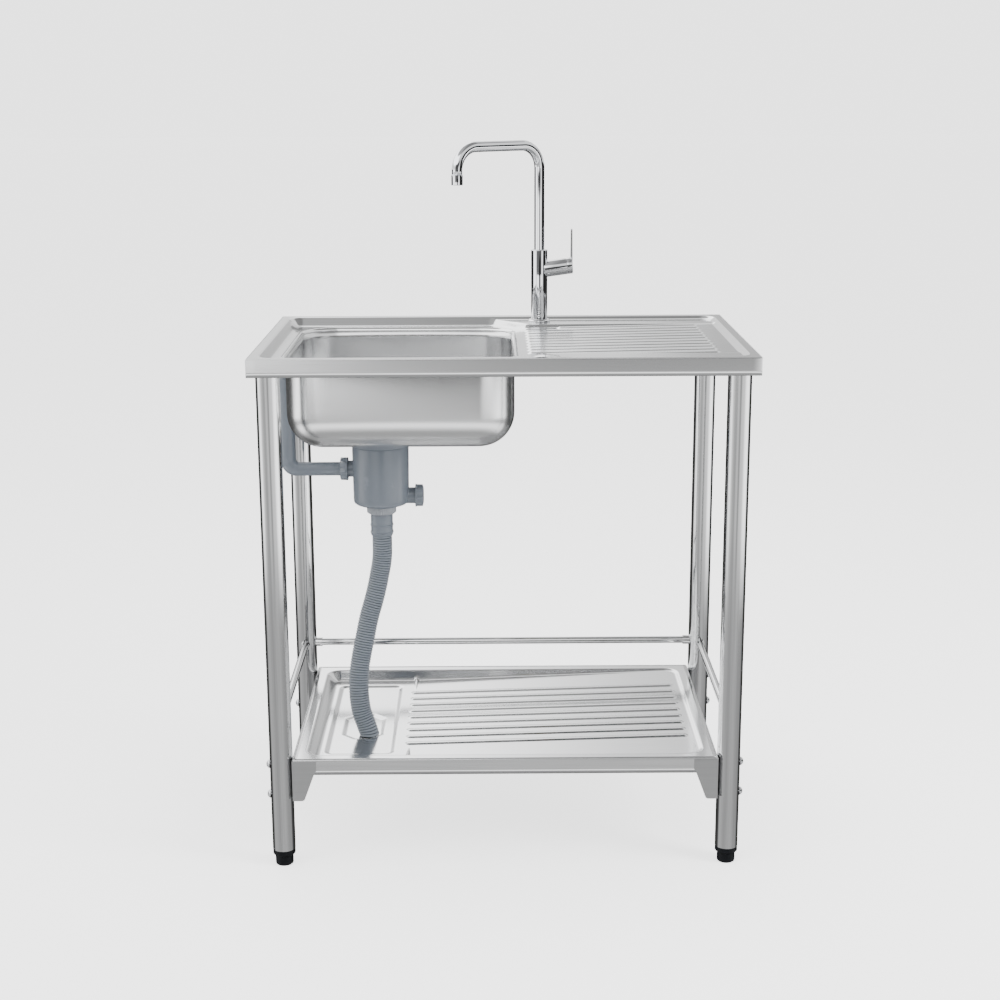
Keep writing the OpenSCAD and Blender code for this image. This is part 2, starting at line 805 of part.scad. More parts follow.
module shelf_ribs() {
  for (i = [-shelf_side_ribs:shelf_side_ribs])
    rib(tray_rib_x0, -tray_drop_at(tray_rib_x0), shelf_rib_x1,
      -tray_drop_at(shelf_rib_x1), i * rib_pitch);
}

// Two tapered beads from the tray's long walls to the first ribs
module tray_beads() {
  bead_len = rib_pitch * 1.6;
  wall_y = shelf_d / 2 - shelf_rim_w - tray_drop * tray_lean_share;
  for (sy = [-1, 1]) translate([tray_rib_x0, sy * wall_y, -tray_drop - rib_h / 2])
    rotate([90 * sy, 0, 0]) cylinder(r1 = rib_w / 3, r2 = rib_h / 2, h = bead_len);
}

module shelf_form(grow) {
  block = 2 * tray_drop;
  difference() {
    translate([-shelf_w / 2 - grow, -shelf_d / 2 - grow, -block])
      cube([shelf_w + 2 * grow, shelf_d + 2 * grow, block]);
    difference() {
      pocket(shelf_w - 2 * shelf_rim_w, shelf_d - 2 * shelf_rim_w, rim_corner_r, tray_drop,
        tray_lean_share);
      tray_ramp();
    }
    translate([panel_x, 0, -tray_drop])
      pocket(panel_w, panel_d, rib_w, panel_drop, wall_lean_share);
    translate([panel_x, recess_y, -tray_drop - panel_drop]) eight_sided_recess();
  }
  shelf_ribs();
  tray_beads();
}

module shelf() {
  color(polished) difference() {
    translate([0, 0, shelf_z]) {
      difference() {
        shelf_form(0);
        translate([0, 0, -sheet_t]) shelf_form(over);
      }
      difference() {
        translate([-shelf_w / 2, -shelf_d / 2, -shelf_edge_h])
          cube([shelf_w, shelf_d, shelf_edge_h]);
        translate([sheet_t - shelf_w / 2, sheet_t - shelf_d / 2, -shelf_edge_h - over])
          cube([shelf_w - 2 * sheet_t, shelf_d - 2 * sheet_t, shelf_edge_h + 2 * over]);
      }
    }
    for (sy = [-1, 1]) translate([0, sy * leg_y, bolt_z1]) rotate([0, 90, 0])
      cylinder(r = bolt_hole_r, h = shelf_w + 2 * over, center = true, $fn = 24);
  }
}

// Outline of a folded corner plate, its foot rounded towards the middle
module gusset_outline() {
  h = bracket_h;
  edge = shelf_edge_h - 2 * sheet_t;
  waist = [-gusset_w * gusset_waist_share, -edge];
  corner = [-gusset_foot_w, -h];
  slant = unit(corner - waist);
  inner = acos(-slant[0]);
  run = gusset_corner_r / tan(inner / 2);
  polygon([[0, 0], [-gusset_w, 0], [-gusset_w, -edge * gusset_side_share], waist,
    corner - slant * run, corner + [run, 0], [0, -h]]);
  translate(corner + [run, gusset_corner_r]) circle(r = gusset_corner_r);
}

// Folded bracket between a front and a rear leg; drawn for the right side
module shelf_bracket() {
  y = shelf_d / 2;
  color(steel) difference() {
    union() {
      translate([bracket_x - sheet_t, -y, bracket_bottom]) cube([sheet_t, 2 * y, bracket_h]);
      for (sy = [-1, 1]) translate([bracket_x, sy * (y + sheet_t / 2), bracket_top])
        rotate([90, 0, 0]) linear_extrude(sheet_t, center = true) gusset_outline();
    }
    for (sy = [-1, 1], z = [bolt_z1, bolt_z2]) translate([bracket_x, sy * leg_y, z])
      rotate([0, 90, 0]) cylinder(r = bolt_hole_r, h = 4 * sheet_t, center = true, $fn = 24);
  }
}

// Bolts through the legs and brackets, with nuts inside
bolt_len = 2 * leg_r + seat_gap + 2 * sheet_t + nut_h + bolt_tip;

module bolt() {
  rotate([0, 90, 0]) rotate_extrude() {
    dome_outline(bolt_head_r, bolt_head_h);
    translate([0, -bolt_len]) square([bolt_r, bolt_len + bolt_head_h / 2]);
  }
}

module bolt_nut() {
  rotate([0, -90, 0]) difference() {
    cylinder(r = nut_r, h = nut_h, $fn = 6);
    translate([0, 0, -over]) cylinder(r = bolt_r + nut_fit, h = nut_h + 2 * over, $fn = 32);
  }
}

module leg_bolts() {
  color(chrome) for (sx = [-1, 1], sy = [-1, 1], z = [bolt_z1, bolt_z2]) at_leg(sx, sy)
    translate([leg_r + seat_gap, 0, z]) bolt();
}

module leg_nuts() {
  color(chrome) for (sx = [-1, 1], sy = [-1, 1], z = [bolt_z1, bolt_z2])
    mirror([sx < 0 ? 1 : 0, 0, 0])
      translate([bracket_x - (z > shelf_z - shelf_edge_h ? 2 : 1) * sheet_t, sy * leg_y, z])
        bolt_nut();
}

// Waste kit

module waste_flange() {
  color(polished) translate([drain_x, 0, seat_z]) {
    tube(flange_r, neck_r - sheet_t, sheet_t);
    translate([0, 0, -neck_len]) tube(neck_r, neck_r - sheet_t, neck_len + sheet_t);
  }
}

module waste_gasket() {
  color(rubber) translate([drain_x, 0, collar_top]) tube(gasket_r, waste_hole_r, gasket_t);
}

module strainer_basket() {
  z0 = seat_z + sheet_t + run_gap;
  color(polished) translate([drain_x, 0, z0]) {
    tube(basket_rim_r, basket_r - basket_t, basket_t);
    difference() {
      translate([0, 0, -basket_depth]) cylinder(r = basket_r, h = basket_depth + basket_t);
      translate([0, 0, basket_t - basket_depth])
        cylinder(r = basket_r - basket_t, h = basket_depth + over);
      for (ring = basket_ring_shares, i = [0:ring[0] - 1])
        rotate([0, 0, (i + 0.5) * 360 / ring[0]])
          translate([basket_r * ring[1], 0, -basket_depth - over])
            cylinder(r = basket_hole_r, h = basket_t + 2 * over, $fn = 16);
    }
    translate([0, 0, -basket_depth]) cylinder(r = basket_knob_r / 3, h = basket_knob_h);
    translate([0, 0, basket_knob_h - basket_depth])
      rotate_extrude() dome_outline(basket_knob_r, basket_knob_r / 2);
  }
}

module pot_collar() {
  h = collar_h;
  color(grey_plastic) translate([drain_x, 0, pot_top]) {
    tube(collar_r, pot_neck_r + seat_gap, h);
    for (a = [0:3]) rotate([0, 0, 90 * a + lug_turn]) translate([collar_r - lug_d / 2, 0, 0])
      translate([0, -lug_w / 2, 0]) cube([lug_d, lug_w, h]);
  }
}

// Outline of the pot turned about its axis, outside or inside
module pot_outline(inset, top) {
  r = pot_corner_r - inset;
  polygon([[0, pot_bottom + inset], [pot_foot_r - pot_corner_r, pot_bottom + inset],
    [pot_foot_r - inset, pot_bottom + pot_corner_r], [pot_r - inset, pot_top - inset],
    [pot_neck_r - inset, pot_top - inset], [pot_neck_r - inset, top], [0, top]]);
  translate([pot_foot_r - pot_corner_r, pot_bottom + pot_corner_r]) circle(r = r);
}

module drain_pot() {
  neck_top = collar_top - 2 * run_gap;
  color(grey_plastic) translate([drain_x, 0, 0]) difference() {
    union() {
      rotate_extrude() pot_outline(0, neck_top);
      translate([0, 0, outlet_end])
        cylinder(r = outlet_r, h = outlet_len + plastic_wall);
      translate([0, 0, overflow_branch_z]) rotate([0, -90, 0])
        cylinder(r = branch_r, h = branch_len);
      translate([0, 0, cap_branch_z]) rotate([0, 90, 0])
        cylinder(r = branch_r, h = cap_branch_len);
    }
    rotate_extrude() pot_outline(plastic_wall, neck_top + over);
    translate([0, 0, outlet_end - over])
      cylinder(r = cuff_bore_r, h = outlet_len + plastic_wall + 2 * over);
    translate([0, 0, overflow_branch_z]) rotate([0, -90, 0])
      cylinder(r = overflow_r + seat_gap, h = branch_len + over);
    translate([0, 0, cap_branch_z]) rotate([0, 90, 0])
      cylinder(r = branch_r - plastic_wall, h = cap_branch_len + over);
  }
}

// Nut on the overflow branch, its flange towards the pot
module overflow_nut() {
  color(grey_plastic) translate([branch_end + branch_nut_grip, 0, overflow_branch_z])
    rotate([0, -90, 0]) difference() {
      nut_body(branch_nut_r, branch_nut_len, nut_edge, [[0, 0], [nut_flange_r, 0],
        [nut_flange_r, branch_nut_flange], [branch_nut_r, branch_nut_flange]]);
      translate([0, 0, -over]) cylinder(r = branch_r + seat_gap,
        h = over + branch_nut_grip + seal_t);
      translate([0, 0, -over]) cylinder(r = overflow_r + seat_gap,
        h = branch_nut_len + 2 * over);
    }
}

module overflow_seal() {
  color(rubber) translate([branch_end, 0, overflow_branch_z]) rotate([0, -90, 0])
    tube(branch_r, overflow_r + seat_gap, seal_t);
}

module overflow_pipe_run(up_r, level_r, level_end) {
  z = overflow_branch_z;
  translate([riser_x, 0, z + elbow_r]) cylinder(r = up_r, h = riser_top - z - elbow_r);
  translate([riser_x + elbow_r, 0, z + elbow_r]) rotate([-90, 0, 0]) rotate([0, 0, 90])
    rotate_extrude(angle = 90) translate([elbow_r, 0]) circle(r = up_r);
  translate([riser_x + elbow_r, 0, z]) rotate([0, 90, 0])
    cylinder(r1 = up_r, r2 = level_r, h = elbow_r / 4);
  translate([riser_x + elbow_r, 0, z]) rotate([0, 90, 0])
    cylinder(r = level_r, h = level_end - riser_x - elbow_r);
}

module overflow_pipe() {
  pipe_end = branch_end + pipe_in_branch;
  color(grey_plastic) difference() {
    overflow_pipe_run(riser_r, overflow_r, pipe_end);
    overflow_pipe_run(riser_r - plastic_wall, overflow_r - plastic_wall, pipe_end + over);
    translate([riser_x, 0, riser_top - over])
      cylinder(r = riser_r - plastic_wall, h = 2 * over);
  }
}

module overflow_head() {
  face = bowl_left - head_gasket_t;
  color(grey_plastic) difference() {
    union() {
      translate([face, 0, overflow_hole_z]) rotate([0, -90, 0])
        cylinder(r = head_gasket_r, h = head_flange_t);
      translate([face, 0, overflow_hole_z]) rotate([0, -90, 0])
        cylinder(r = head_neck_r, h = face - riser_x);
      translate([riser_x, 0, overflow_hole_z]) sphere(r = head_neck_r);
      translate([riser_x, 0, head_socket_top]) cylinder(r1 = head_socket_r,
        r2 = head_neck_r, h = head_cone_h);
      translate([riser_x, 0, overflow_hole_z - head_neck_r]) cylinder(r = head_neck_r,
        h = head_neck_r);
      translate([riser_x, 0, head_socket_bottom])
        cylinder(r = head_socket_r, h = head_socket_top - head_socket_bottom);
    }
    translate([face + over, 0, overflow_hole_z]) rotate([0, -90, 0])
      cylinder(r = head_bore_r, h = face + over - riser_x);
    translate([riser_x, 0, head_socket_bottom - over])
      cylinder(r = head_bore_r, h = overflow_hole_z - head_socket_bottom + over);
    translate([riser_x, 0, head_socket_bottom - over])
      cylinder(r = riser_r + seat_gap, h = riser_top - head_socket_bottom + over);
  }
}

module overflow_gasket() {
  color(rubber) translate([bowl_left, 0, overflow_hole_z]) rotate([0, -90, 0])
    tube(head_gasket_r, head_bore_r, head_gasket_t);
}

module overflow_rosette() {
  wall = bowl_left + sheet_t;
  color(polished) translate([wall, 0, overflow_hole_z]) rotate([0, 90, 0]) {
    difference() {
      cylinder(r = rosette_r, h = rosette_t);
      for (i = [-1:1]) translate([i * rosette_slot_w * 2, 0, rosette_t / 2])
        cube([rosette_slot_w, head_bore_r * 1.4, rosette_t + 2 * over], center = true);
    }
    translate([0, 0, -bolt_head_r - over]) difference() {
      cylinder(r = head_bore_r - seat_gap, h = bolt_head_r + over);
      translate([0, 0, -over]) cylinder(r = head_bore_r - seat_gap - basket_t,
        h = bolt_head_r + 3 * over);
    }
  }
}

module branch_cap() {
  r = branch_nut_r - lobe_r / 2;
  edge = plastic_wall / 2;
  color(grey_plastic) translate([cap_x, 0, cap_branch_z]) rotate([0, 90, 0]) difference() {
    nut_body(r, cap_len, edge, [[0, 0], [nut_flange_r, 0],
      [nut_flange_r, branch_nut_flange], [r, branch_nut_flange]]);
    translate([0, 0, -over]) cylinder(r = branch_r + seat_gap, h = cap_bore_len + over);
  }
}

module outlet_nut() {
  r = outlet_nut_r - lobe_r / 2;
  color(light_plastic) translate([drain_x, 0, outlet_nut_top - outlet_nut_h]) difference() {
    nut_body(r, outlet_nut_h, nut_edge, [[0, 0], [r - outlet_web, 0], [r, outlet_web]]);
    translate([0, 0, outlet_web]) cylinder(r = outlet_r + seat_gap, h = outlet_nut_h);
    translate([0, 0, -over]) cylinder(r = cuff_r + seat_gap, h = outlet_nut_h);
  }
}

module hose_cuff() {
  seat = outlet_nut_top - outlet_nut_h + outlet_web;
  color(grey_plastic) translate([drain_x, 0, 0]) difference() {
    union() {
      translate([0, 0, cuff_bottom]) cylinder(r = cuff_r, h = seat - cuff_bottom);
      translate([0, 0, seat]) cylinder(r = outlet_r, h = outlet_end - seat);
      for (share = cuff_bead_shares) translate([0, 0, cuff_bottom + share * cuff_len])
        cylinder(r = cuff_bead_r, h = cuff_bead_w, center = true);
    }
    translate([0, 0, cuff_bottom - over])
      cylinder(r = cuff_bore_r, h = cuff_len + 2 * over);
  }
}

// Waste hose: ribs outside and a smooth bore, one closed skin along the route

function bezier(p0, p1, p2, p3, t) = let (u = 1 - t)
  u * u * u * p0 + 3 * u * u * t * p1 + 3 * u * t * t * p2 + t * t * t * p3;
function unit(v) = v / norm(v);
hose_n = len(hose_route) - 1;
function route_dir(i) = i == 0 ? hose_route[1] - hose_route[0]
  : i == hose_n ? hose_route[hose_n] - hose_route[hose_n - 1]
  : (hose_route[i + 1] - hose_route[i - 1]) / 2;
function route_at(s) = let (i = min(floor(s), hose_n - 1), t = s - i)
  bezier(hose_route[i], hose_route[i] + route_dir(i) / 3,
    hose_route[i + 1] - route_dir(i + 1) / 3, hose_route[i + 1], t);
function route_along(s) = let (h = 0.01)
  s <= 0 ? [0, 0, -1] : unit(route_at(min(s + h, hose_n)) - route_at(max(s - h, 0)));
hose_sides = 8;
function hose_ring(s, r) = let (p = route_at(s), d = route_along(s),
  a = unit(cross([0, 1, 0], d)), b = cross(d, a))
  [for (k = [0:hose_sides - 1]) let (q = 360 * (k + 0.5) / hose_sides)
    p + r * (cos(q) * a + sin(q) * b)];
rib_rings = 2 * hose_ribs;
bore_rings = 20;
function rib_s(j) = hose_n * j / (rib_rings - 1);
hose_outside = [for (j = [0:rib_rings - 1])
  each hose_ring(rib_s(j), hose_r - (j % 2 == 1 ? hose_rib_h : 0))];
hose_inside = [for (j = [0:bore_rings]) each hose_ring(hose_n * j / bore_rings, hose_bore_r)];
function skin(base, rings, flip) = [for (j = [0:rings - 2], k = [0:hose_sides - 1])
  let (k1 = (k + 1) % hose_sides, a = base + j * hose_sides + k,
    b = base + j * hose_sides + k1, c = a + hose_sides, d = b + hose_sides)
  each (flip ? [[a, b, c], [b, d, c]] : [[a, c, b], [b, c, d]])];
function hose_end(outer, inner, flip) = [for (k = [0:hose_sides - 1])
  let (k1 = (k + 1) % hose_sides)
  each (flip ? [[outer + k, inner + k, outer + k1], [outer + k1, inner + k, inner + k1]]
    : [[outer + k, outer + k1, inner + k], [outer + k1, inner + k1, inner + k]])];

module drain_hose() {
  inside = rib_rings * hose_sides;
  color(grey_plastic) polyhedron(points = concat(hose_outside, hose_inside),
    faces = concat(skin(0, rib_rings, false), skin(inside, bore_rings + 1, true),
      hose_end(0, inside, false),
      hose_end((rib_rings - 1) * hose_sides, inside + bore_rings * hose_sides, true)));
}

// Second tap hole, closed

module tap_hole_cover() {
  color(polished) translate([tap_x, -tap_y, ledge_z]) rotate_extrude() {
    dome_outline(cover_r, cover_h);
    translate([0, -cover_stem_len]) square([cover_stem_r, cover_stem_len + cover_h / 2]);
  }
}

module cover_nut() {
  color(black_plastic) translate([tap_x, -tap_y, ledge_z - sheet_t - cover_nut_h])
    difference() {
      union() {
        cylinder(r = cover_nut_r, h = cover_nut_h);
        translate([0, 0, -cover_nut_h]) cylinder(r = 2 * cover_stem_r, h = cover_nut_h);
      }
      translate([0, 0, -cover_nut_h - over])
        cylinder(r = cover_stem_r + seat_gap, h = 2 * cover_nut_h + 2 * over);
    }
}

// Tap

module tap_ring() {
  color(chrome) translate([tap_x, tap_y, ledge_z]) difference() {
    union() {
      cylinder(r = tap_ring_r, h = tap_ring_h * 0.7);
      translate([0, 0, tap_ring_h * 0.7]) cylinder(r1 = tap_ring_r,
        r2 = tap_ring_r - tap_ring_h * 0.3, h = tap_ring_h * 0.3);
    }
    translate([0, 0, -over]) cylinder(r = shank_r + seat_gap, h = tap_ring_h + 2 * over);
  }
}

module tap_body() {
  body_z = ledge_z + tap_ring_h;
  body_top = ledge_z + tap_body_h;
  color(chrome) difference() {
    union() {
      translate([tap_x, tap_y, body_z]) cylinder(r = tap_r, h = body_top - body_z);
      on_barrel() cylinder(r = barrel_r, h = barrel_len);
    }
    translate([tap_x, tap_y, body_top - spout_in_body])
      cylinder(r = bush_r + seat_gap, h = spout_in_body + over);
    translate([tap_x, tap_y, body_z - over])
      cylinder(r = shank_r + seat_gap, h = shank_in_body + over);
    for (side = [-1, 1]) translate([tap_x + side * port_x, tap_y, body_z])
      cylinder(r = port_r, h = shank_in_body + port_len, $fn = 32);
    on_barrel() translate([0, 0, valve_bore_s])
      cylinder(r = valve_bore_r, h = barrel_len - valve_bore_s + over);
  }
}

module tap_shank() {
  top = ledge_z + tap_ring_h + shank_in_body;
  color(brass) translate([tap_x, tap_y, top - shank_len])
    tube(shank_r, shank_bore_r, shank_len);
}

module tap_washer() {
  color(rubber) translate([tap_x, tap_y, ledge_z - sheet_t - tap_washer_t])
    tube(tap_washer_r, shank_r + seat_gap, tap_washer_t);
}

module tap_nut() {
  color(brass) translate([tap_x, tap_y, ledge_z - sheet_t - tap_washer_t - tap_nut_h])
    difference() {
      cylinder(r = tap_nut_r, h = tap_nut_h, $fn = 6);
      translate([0, 0, -over]) cylinder(r = shank_r + seat_gap, h = tap_nut_h + 2 * over);
    }
}

module spout_bush() {
  color(light_plastic)
    translate([tap_x, tap_y, ledge_z + tap_body_h - spout_in_body])
      tube(bush_r, spout_r + fit_gap, spout_in_body - sheet_t);
}

module at_spout() {
  translate([tap_x, tap_y, ledge_z]) rotate([0, 0, 180 + spout_turn]) children();
}

// The spout's run as a rod of one radius, from the body to the aerator
module spout_run(r) {
  arm_z = spout_h - spout_r;
  bend_z = arm_z - spout_bend_r;
  start = tap_body_h - spout_in_body + run_gap;
  tip = mouth_h + aerator_len;
  translate([0, 0, start]) cylinder(r = r, h = bend_z - start);
  translate([spout_bend_r, 0, bend_z]) rotate([90, 0, 0]) rotate([0, 0, 90])
    rotate_extrude(angle = 90) translate([spout_bend_r, 0]) circle(r = r);
  translate([spout_bend_r, 0, arm_z]) rotate([0, 90, 0])
    cylinder(r = r, h = spout_reach - 2 * spout_bend_r);
  translate([spout_reach - spout_bend_r, 0, bend_z]) rotate([90, 0, 0])
    rotate_extrude(angle = 90) translate([spout_bend_r, 0]) circle(r = r);
  translate([spout_reach, 0, tip]) cylinder(r = r, h = bend_z - tip);
}

module spout() {
  start = tap_body_h - spout_in_body + run_gap;
  tip = mouth_h + aerator_len;
  color(chrome) at_spout() difference() {
    spout_run(spout_r);
    spout_run(spout_r - spout_wall);
    translate([0, 0, start - over]) cylinder(r = spout_r - spout_wall, h = 2 * over);
    translate([spout_reach, 0, tip - over])
      cylinder(r = spout_r - spout_wall, h = 2 * over);
  }
}

module aerator() {
  color(chrome) at_spout() translate([spout_reach, 0, mouth_h])
    tube(aerator_r, spout_r - spout_wall, aerator_len);
}

module aerator_insert() {
  r = spout_r - spout_wall;
  color(light_plastic) at_spout() translate([spout_reach, 0, mouth_h + run_gap]) difference() {
    cylinder(r = r, h = 4 * spout_wall);
    for (ring = mesh_ring_shares, i = [0:ring[0] - 1])
      rotate([0, 0, i * 360 / ring[0]]) translate([r * ring[1], 0, -over])
        cylinder(r = mesh_hole_r, h = 4 * spout_wall + 2 * over, $fn = 16);
  }
}

module cartridge() {
  color(light_plastic) on_barrel() translate([0, 0, valve_bore_s])
    cylinder(r = valve_bore_r - seat_gap, h = rotor_s0 - run_gap - valve_bore_s);
}

// The cross pin on which the stem tilts, or its hole
module stem_pin(r, len) {
  translate([0, 0, pivot_s]) rotate([90, 0, 0]) cylinder(r = r, h = len, center = true);
}

// Turning head of the valve, with the socket of the stem's ball and the pin's hole
module cartridge_rotor() {
  color(light_plastic) on_barrel() difference() {
    translate([0, 0, rotor_s0]) cylinder(r = rotor_r, h = rotor_s1 - rotor_s0);
    translate([0, 0, pivot_s - ball_r - run_gap])
      cylinder(r = ball_r + run_gap, h = rotor_s1);
    stem_pin(stem_pin_r + fit_gap, 2 * (rotor_r + over));
  }
}

// Round-faced ring that closes the barrel; the hub slides over its ball face
module cartridge_dome() {
  color(chrome) on_barrel() difference() {
    union() {
      translate([0, 0, dome_s0])
        cylinder(r = valve_bore_r - seat_gap, h = barrel_len - dome_s0);
      intersection() {
        translate([0, 0, pivot_s]) sphere(r = dome_ball_r);
        translate([0, 0, barrel_len]) cylinder(r = 2 * barrel_r, h = barrel_r);
      }
    }
    translate([0, 0, dome_s0 - over]) cylinder(r = dome_bore_r, h = barrel_len);
  }
}

module lever_stem() {
  color(steel) on_barrel() {
    translate([0, 0, pivot_s]) sphere(r = ball_r);
    translate([0, 0, pivot_s]) cylinder(r = stem_r, h = stem_top - pivot_s);
    stem_pin(stem_pin_r, 2 * (rotor_r - stem_pin_r));
  }
}

module lever_hub() {
  color(chrome) on_barrel() difference() {
    translate([0, 0, hub_s0]) cylinder(r = barrel_r, h = hub_len);
    translate([0, 0, pivot_s]) sphere(r = hub_ball_r);
    translate([0, 0, pivot_s]) cylinder(r = stem_r + seat_gap, h = stem_top - pivot_s);
    lever_blade_body();
  }
}

// Upright plate let into the middle of the hub's end
module lever_blade_body() {
  foot = -blade_root_w / 3;
  translate([0, 0, hub_s1 - blade_sink]) rotate([0, barrel_tilt, 0]) rotate([0, 0, 180])
    linear_extrude(blade_t) polygon([[foot, -blade_root_w / 2], [blade_h, -blade_tip_w / 2],
      [blade_h, blade_tip_w / 2], [foot, blade_root_w / 2]]);
}

module lever_blade() {
  color(chrome) on_barrel() lever_blade_body();
}

sink_top();
bowl();
at_leg(-1, -1) leg_socket();  // leg_socket_front_left
at_leg(1, -1) leg_socket();  // leg_socket_front_right
at_leg(-1, 1) leg_socket();  // leg_socket_rear_left
at_leg(1, 1) leg_socket();  // leg_socket_rear_right
at_leg(-1, -1) leg();  // leg_front_left
at_leg(1, -1) leg();  // leg_front_right
at_leg(-1, 1) leg();  // leg_rear_left
at_leg(1, 1) leg();  // leg_rear_right
at_leg(-1, -1) foot_insert();  // foot_insert_front_left
at_leg(1, -1) foot_insert();  // foot_insert_front_right
at_leg(-1, 1) foot_insert();  // foot_insert_rear_left
at_leg(1, 1) foot_insert();  // foot_insert_rear_right
at_leg(-1, -1) foot();  // foot_front_left
at_leg(1, -1) foot();  // foot_front_right
at_leg(-1, 1) foot();  // foot_rear_left
at_leg(1, 1) foot();  // foot_rear_right
rear_rail();
side_rail(-1);  // left_rail
side_rail(1);  // right_rail
rail_cups();
shelf();
mirror([1, 0, 0]) shelf_bracket();  // shelf_bracket_left
shelf_bracket();  // shelf_bracket_right
leg_bolts();
leg_nuts();
waste_flange();
waste_gasket();
strainer_basket();
pot_collar();
drain_pot();
overflow_nut();
overflow_seal();
overflow_pipe();
overflow_head();
overflow_gasket();
overflow_rosette();
branch_cap();
outlet_nut();
hose_cuff();
drain_hose();
tap_hole_cover();
cover_nut();
tap_ring();
tap_body();
tap_shank();
tap_washer();
tap_nut();
spout_bush();
spout();
aerator();
aerator_insert();
cartridge();
cartridge_rotor();
cartridge_dome();
lever_stem();
lever_hub();
lever_blade();
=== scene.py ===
"""Looks of a free-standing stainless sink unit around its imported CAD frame."""
import math
import bmesh
import bpy
import numpy as np
from bpy.props import FloatProperty, FloatVectorProperty, IntProperty, PointerProperty
from mathutils import Matrix, Vector


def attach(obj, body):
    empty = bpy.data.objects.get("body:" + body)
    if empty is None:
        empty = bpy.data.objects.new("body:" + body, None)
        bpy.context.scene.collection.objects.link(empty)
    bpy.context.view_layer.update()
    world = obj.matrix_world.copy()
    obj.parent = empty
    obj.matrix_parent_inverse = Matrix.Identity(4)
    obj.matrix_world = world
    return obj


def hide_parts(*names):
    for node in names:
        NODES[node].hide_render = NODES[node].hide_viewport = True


bl_info = {"name": "Stainless sink unit", "version": (1, 0, 0), "blender": (4, 5, 0),
           "location": "3D View > Sidebar > Sink unit",
           "description": "Pressed steel, chrome and plastic pieces of a free-standing sink unit",
           "category": "Add Mesh"}

MM = 0.001
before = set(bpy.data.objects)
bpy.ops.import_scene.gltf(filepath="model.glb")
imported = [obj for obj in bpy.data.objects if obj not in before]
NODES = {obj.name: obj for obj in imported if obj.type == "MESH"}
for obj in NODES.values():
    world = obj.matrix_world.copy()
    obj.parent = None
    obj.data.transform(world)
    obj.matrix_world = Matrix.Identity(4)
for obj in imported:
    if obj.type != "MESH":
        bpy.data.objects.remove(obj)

# The waste hose's route in metres, as in the part's source, and its last 6 mm down to the
# shelf's recess
HOSE_ROUTE = np.array([
    (-210, 0, 513.5), (-210, 0, 496.5), (-210.2, 0, 479.5), (-212, -1, 462),
    (-215.2, -3, 445), (-218.6, -6.5, 428), (-222.6, -10.5, 411), (-227.4, -14.5, 393.5),
    (-232.6, -18.8, 376), (-237, -23.8, 358), (-240.6, -29, 340), (-244.4, -34, 322),
    (-248, -39, 304), (-250.8, -44.5, 286), (-252.3, -49.6, 268), (-252.4, -54.4, 250),
    (-251, -58.4, 230), (-247.8, -61.8, 211), (-242, -64.4, 194), (-236.2, -67, 177),
    (-234.6, -67.7, 171.2)]) * MM
# Rows in a rib's pitch, points round the hose, and ribs that turn level at its end
RIB_ROWS, HOSE_AROUND, LEVEL_RIBS = 12, 48, 6


# Sizes and colours that a user would change

class SinkSheet(bpy.types.PropertyGroup):
    """Sizes of the pressed sheets."""
    fold: FloatProperty(name="Fold radius", description="Outer radius of the folded edges",
                        default=1.6 * MM, unit="LENGTH")
    blend: FloatProperty(name="Press radius", description="Softness of the pressed corners",
                         default=2.6 * MM, unit="LENGTH")
    thick: FloatProperty(name="Sheet", description="Thickness of the steel sheet",
                         default=1.2 * MM, unit="LENGTH")


class SinkWaste(bpy.types.PropertyGroup):
    """Sizes of the waste hose."""
    ribs: IntProperty(name="Ribs", description="Ribs on the waste hose", default=80)
    outer: FloatProperty(name="Rib radius", description="Radius of the hose's ribs",
                         default=17.3 * MM, unit="LENGTH")
    depth: FloatProperty(name="Rib height", description="Depth of the grooves between ribs",
                         default=2.0 * MM, unit="LENGTH")
    bore: FloatProperty(name="Bore", description="Radius of the hose's bore",
                        default=13.2 * MM, unit="LENGTH")


class SinkColours(bpy.types.PropertyGroup):
    """Base colours of the finishes."""
    steel: FloatVectorProperty(name="Steel", description="Satin and bright stainless steel",
                               subtype="COLOR", default=(0.72, 0.725, 0.73))
    chrome: FloatVectorProperty(name="Chrome", description="Chrome plating of the tap",
                                subtype="COLOR", default=(0.80, 0.81, 0.83))
    plastic: FloatVectorProperty(name="Grey plastic", description="Waste kit plastic",
                                 subtype="COLOR", default=(0.165, 0.188, 0.218))
    light: FloatVectorProperty(name="Light plastic", description="Light grey plastic nuts",
                               subtype="COLOR", default=(0.30, 0.32, 0.35))
    black: FloatVectorProperty(name="Black plastic", description="Feet and inserts",
                               subtype="COLOR", default=(0.004, 0.005, 0.007))


# Node groups

TONE_AND_HEIGHT = [("Tone", "NodeSocketFloat"), ("Height", "NodeSocketFloat")]
TONE_LOW, TONE_HIGH = 0.35, 0.65


def new_group(name, inputs, outputs):
    """An empty shader node group with its sockets; returns (group, inside, outside)."""
    g = bpy.data.node_groups.new(name, "ShaderNodeTree")
    for n, kind, value in inputs:
        s = g.interface.new_socket(n, in_out="INPUT", socket_type=kind)
        if value is not None:
            s.default_value = value
    for n, kind in outputs:
        g.interface.new_socket(n, in_out="OUTPUT", socket_type=kind)
    return g, g.nodes.new("NodeGroupInput"), g.nodes.new("NodeGroupOutput")


def add(tree, kind, **sets):
    """Adds a node; keywords are its properties, and in_NAME are its socket values."""
    n = tree.nodes.new(kind)
    for k, v in sets.items():
        if k.startswith("in_"):
            n.inputs[int(k[3:]) if k[3:].isdigit() else k[3:]].default_value = v
        else:
            setattr(n, k, v)
    return n


def fed(tree, kind, source, **sets):
    """Adds a node whose first input takes a socket."""
    n = add(tree, kind, **sets)
    tree.links.new(source, n.inputs[0])
    return n


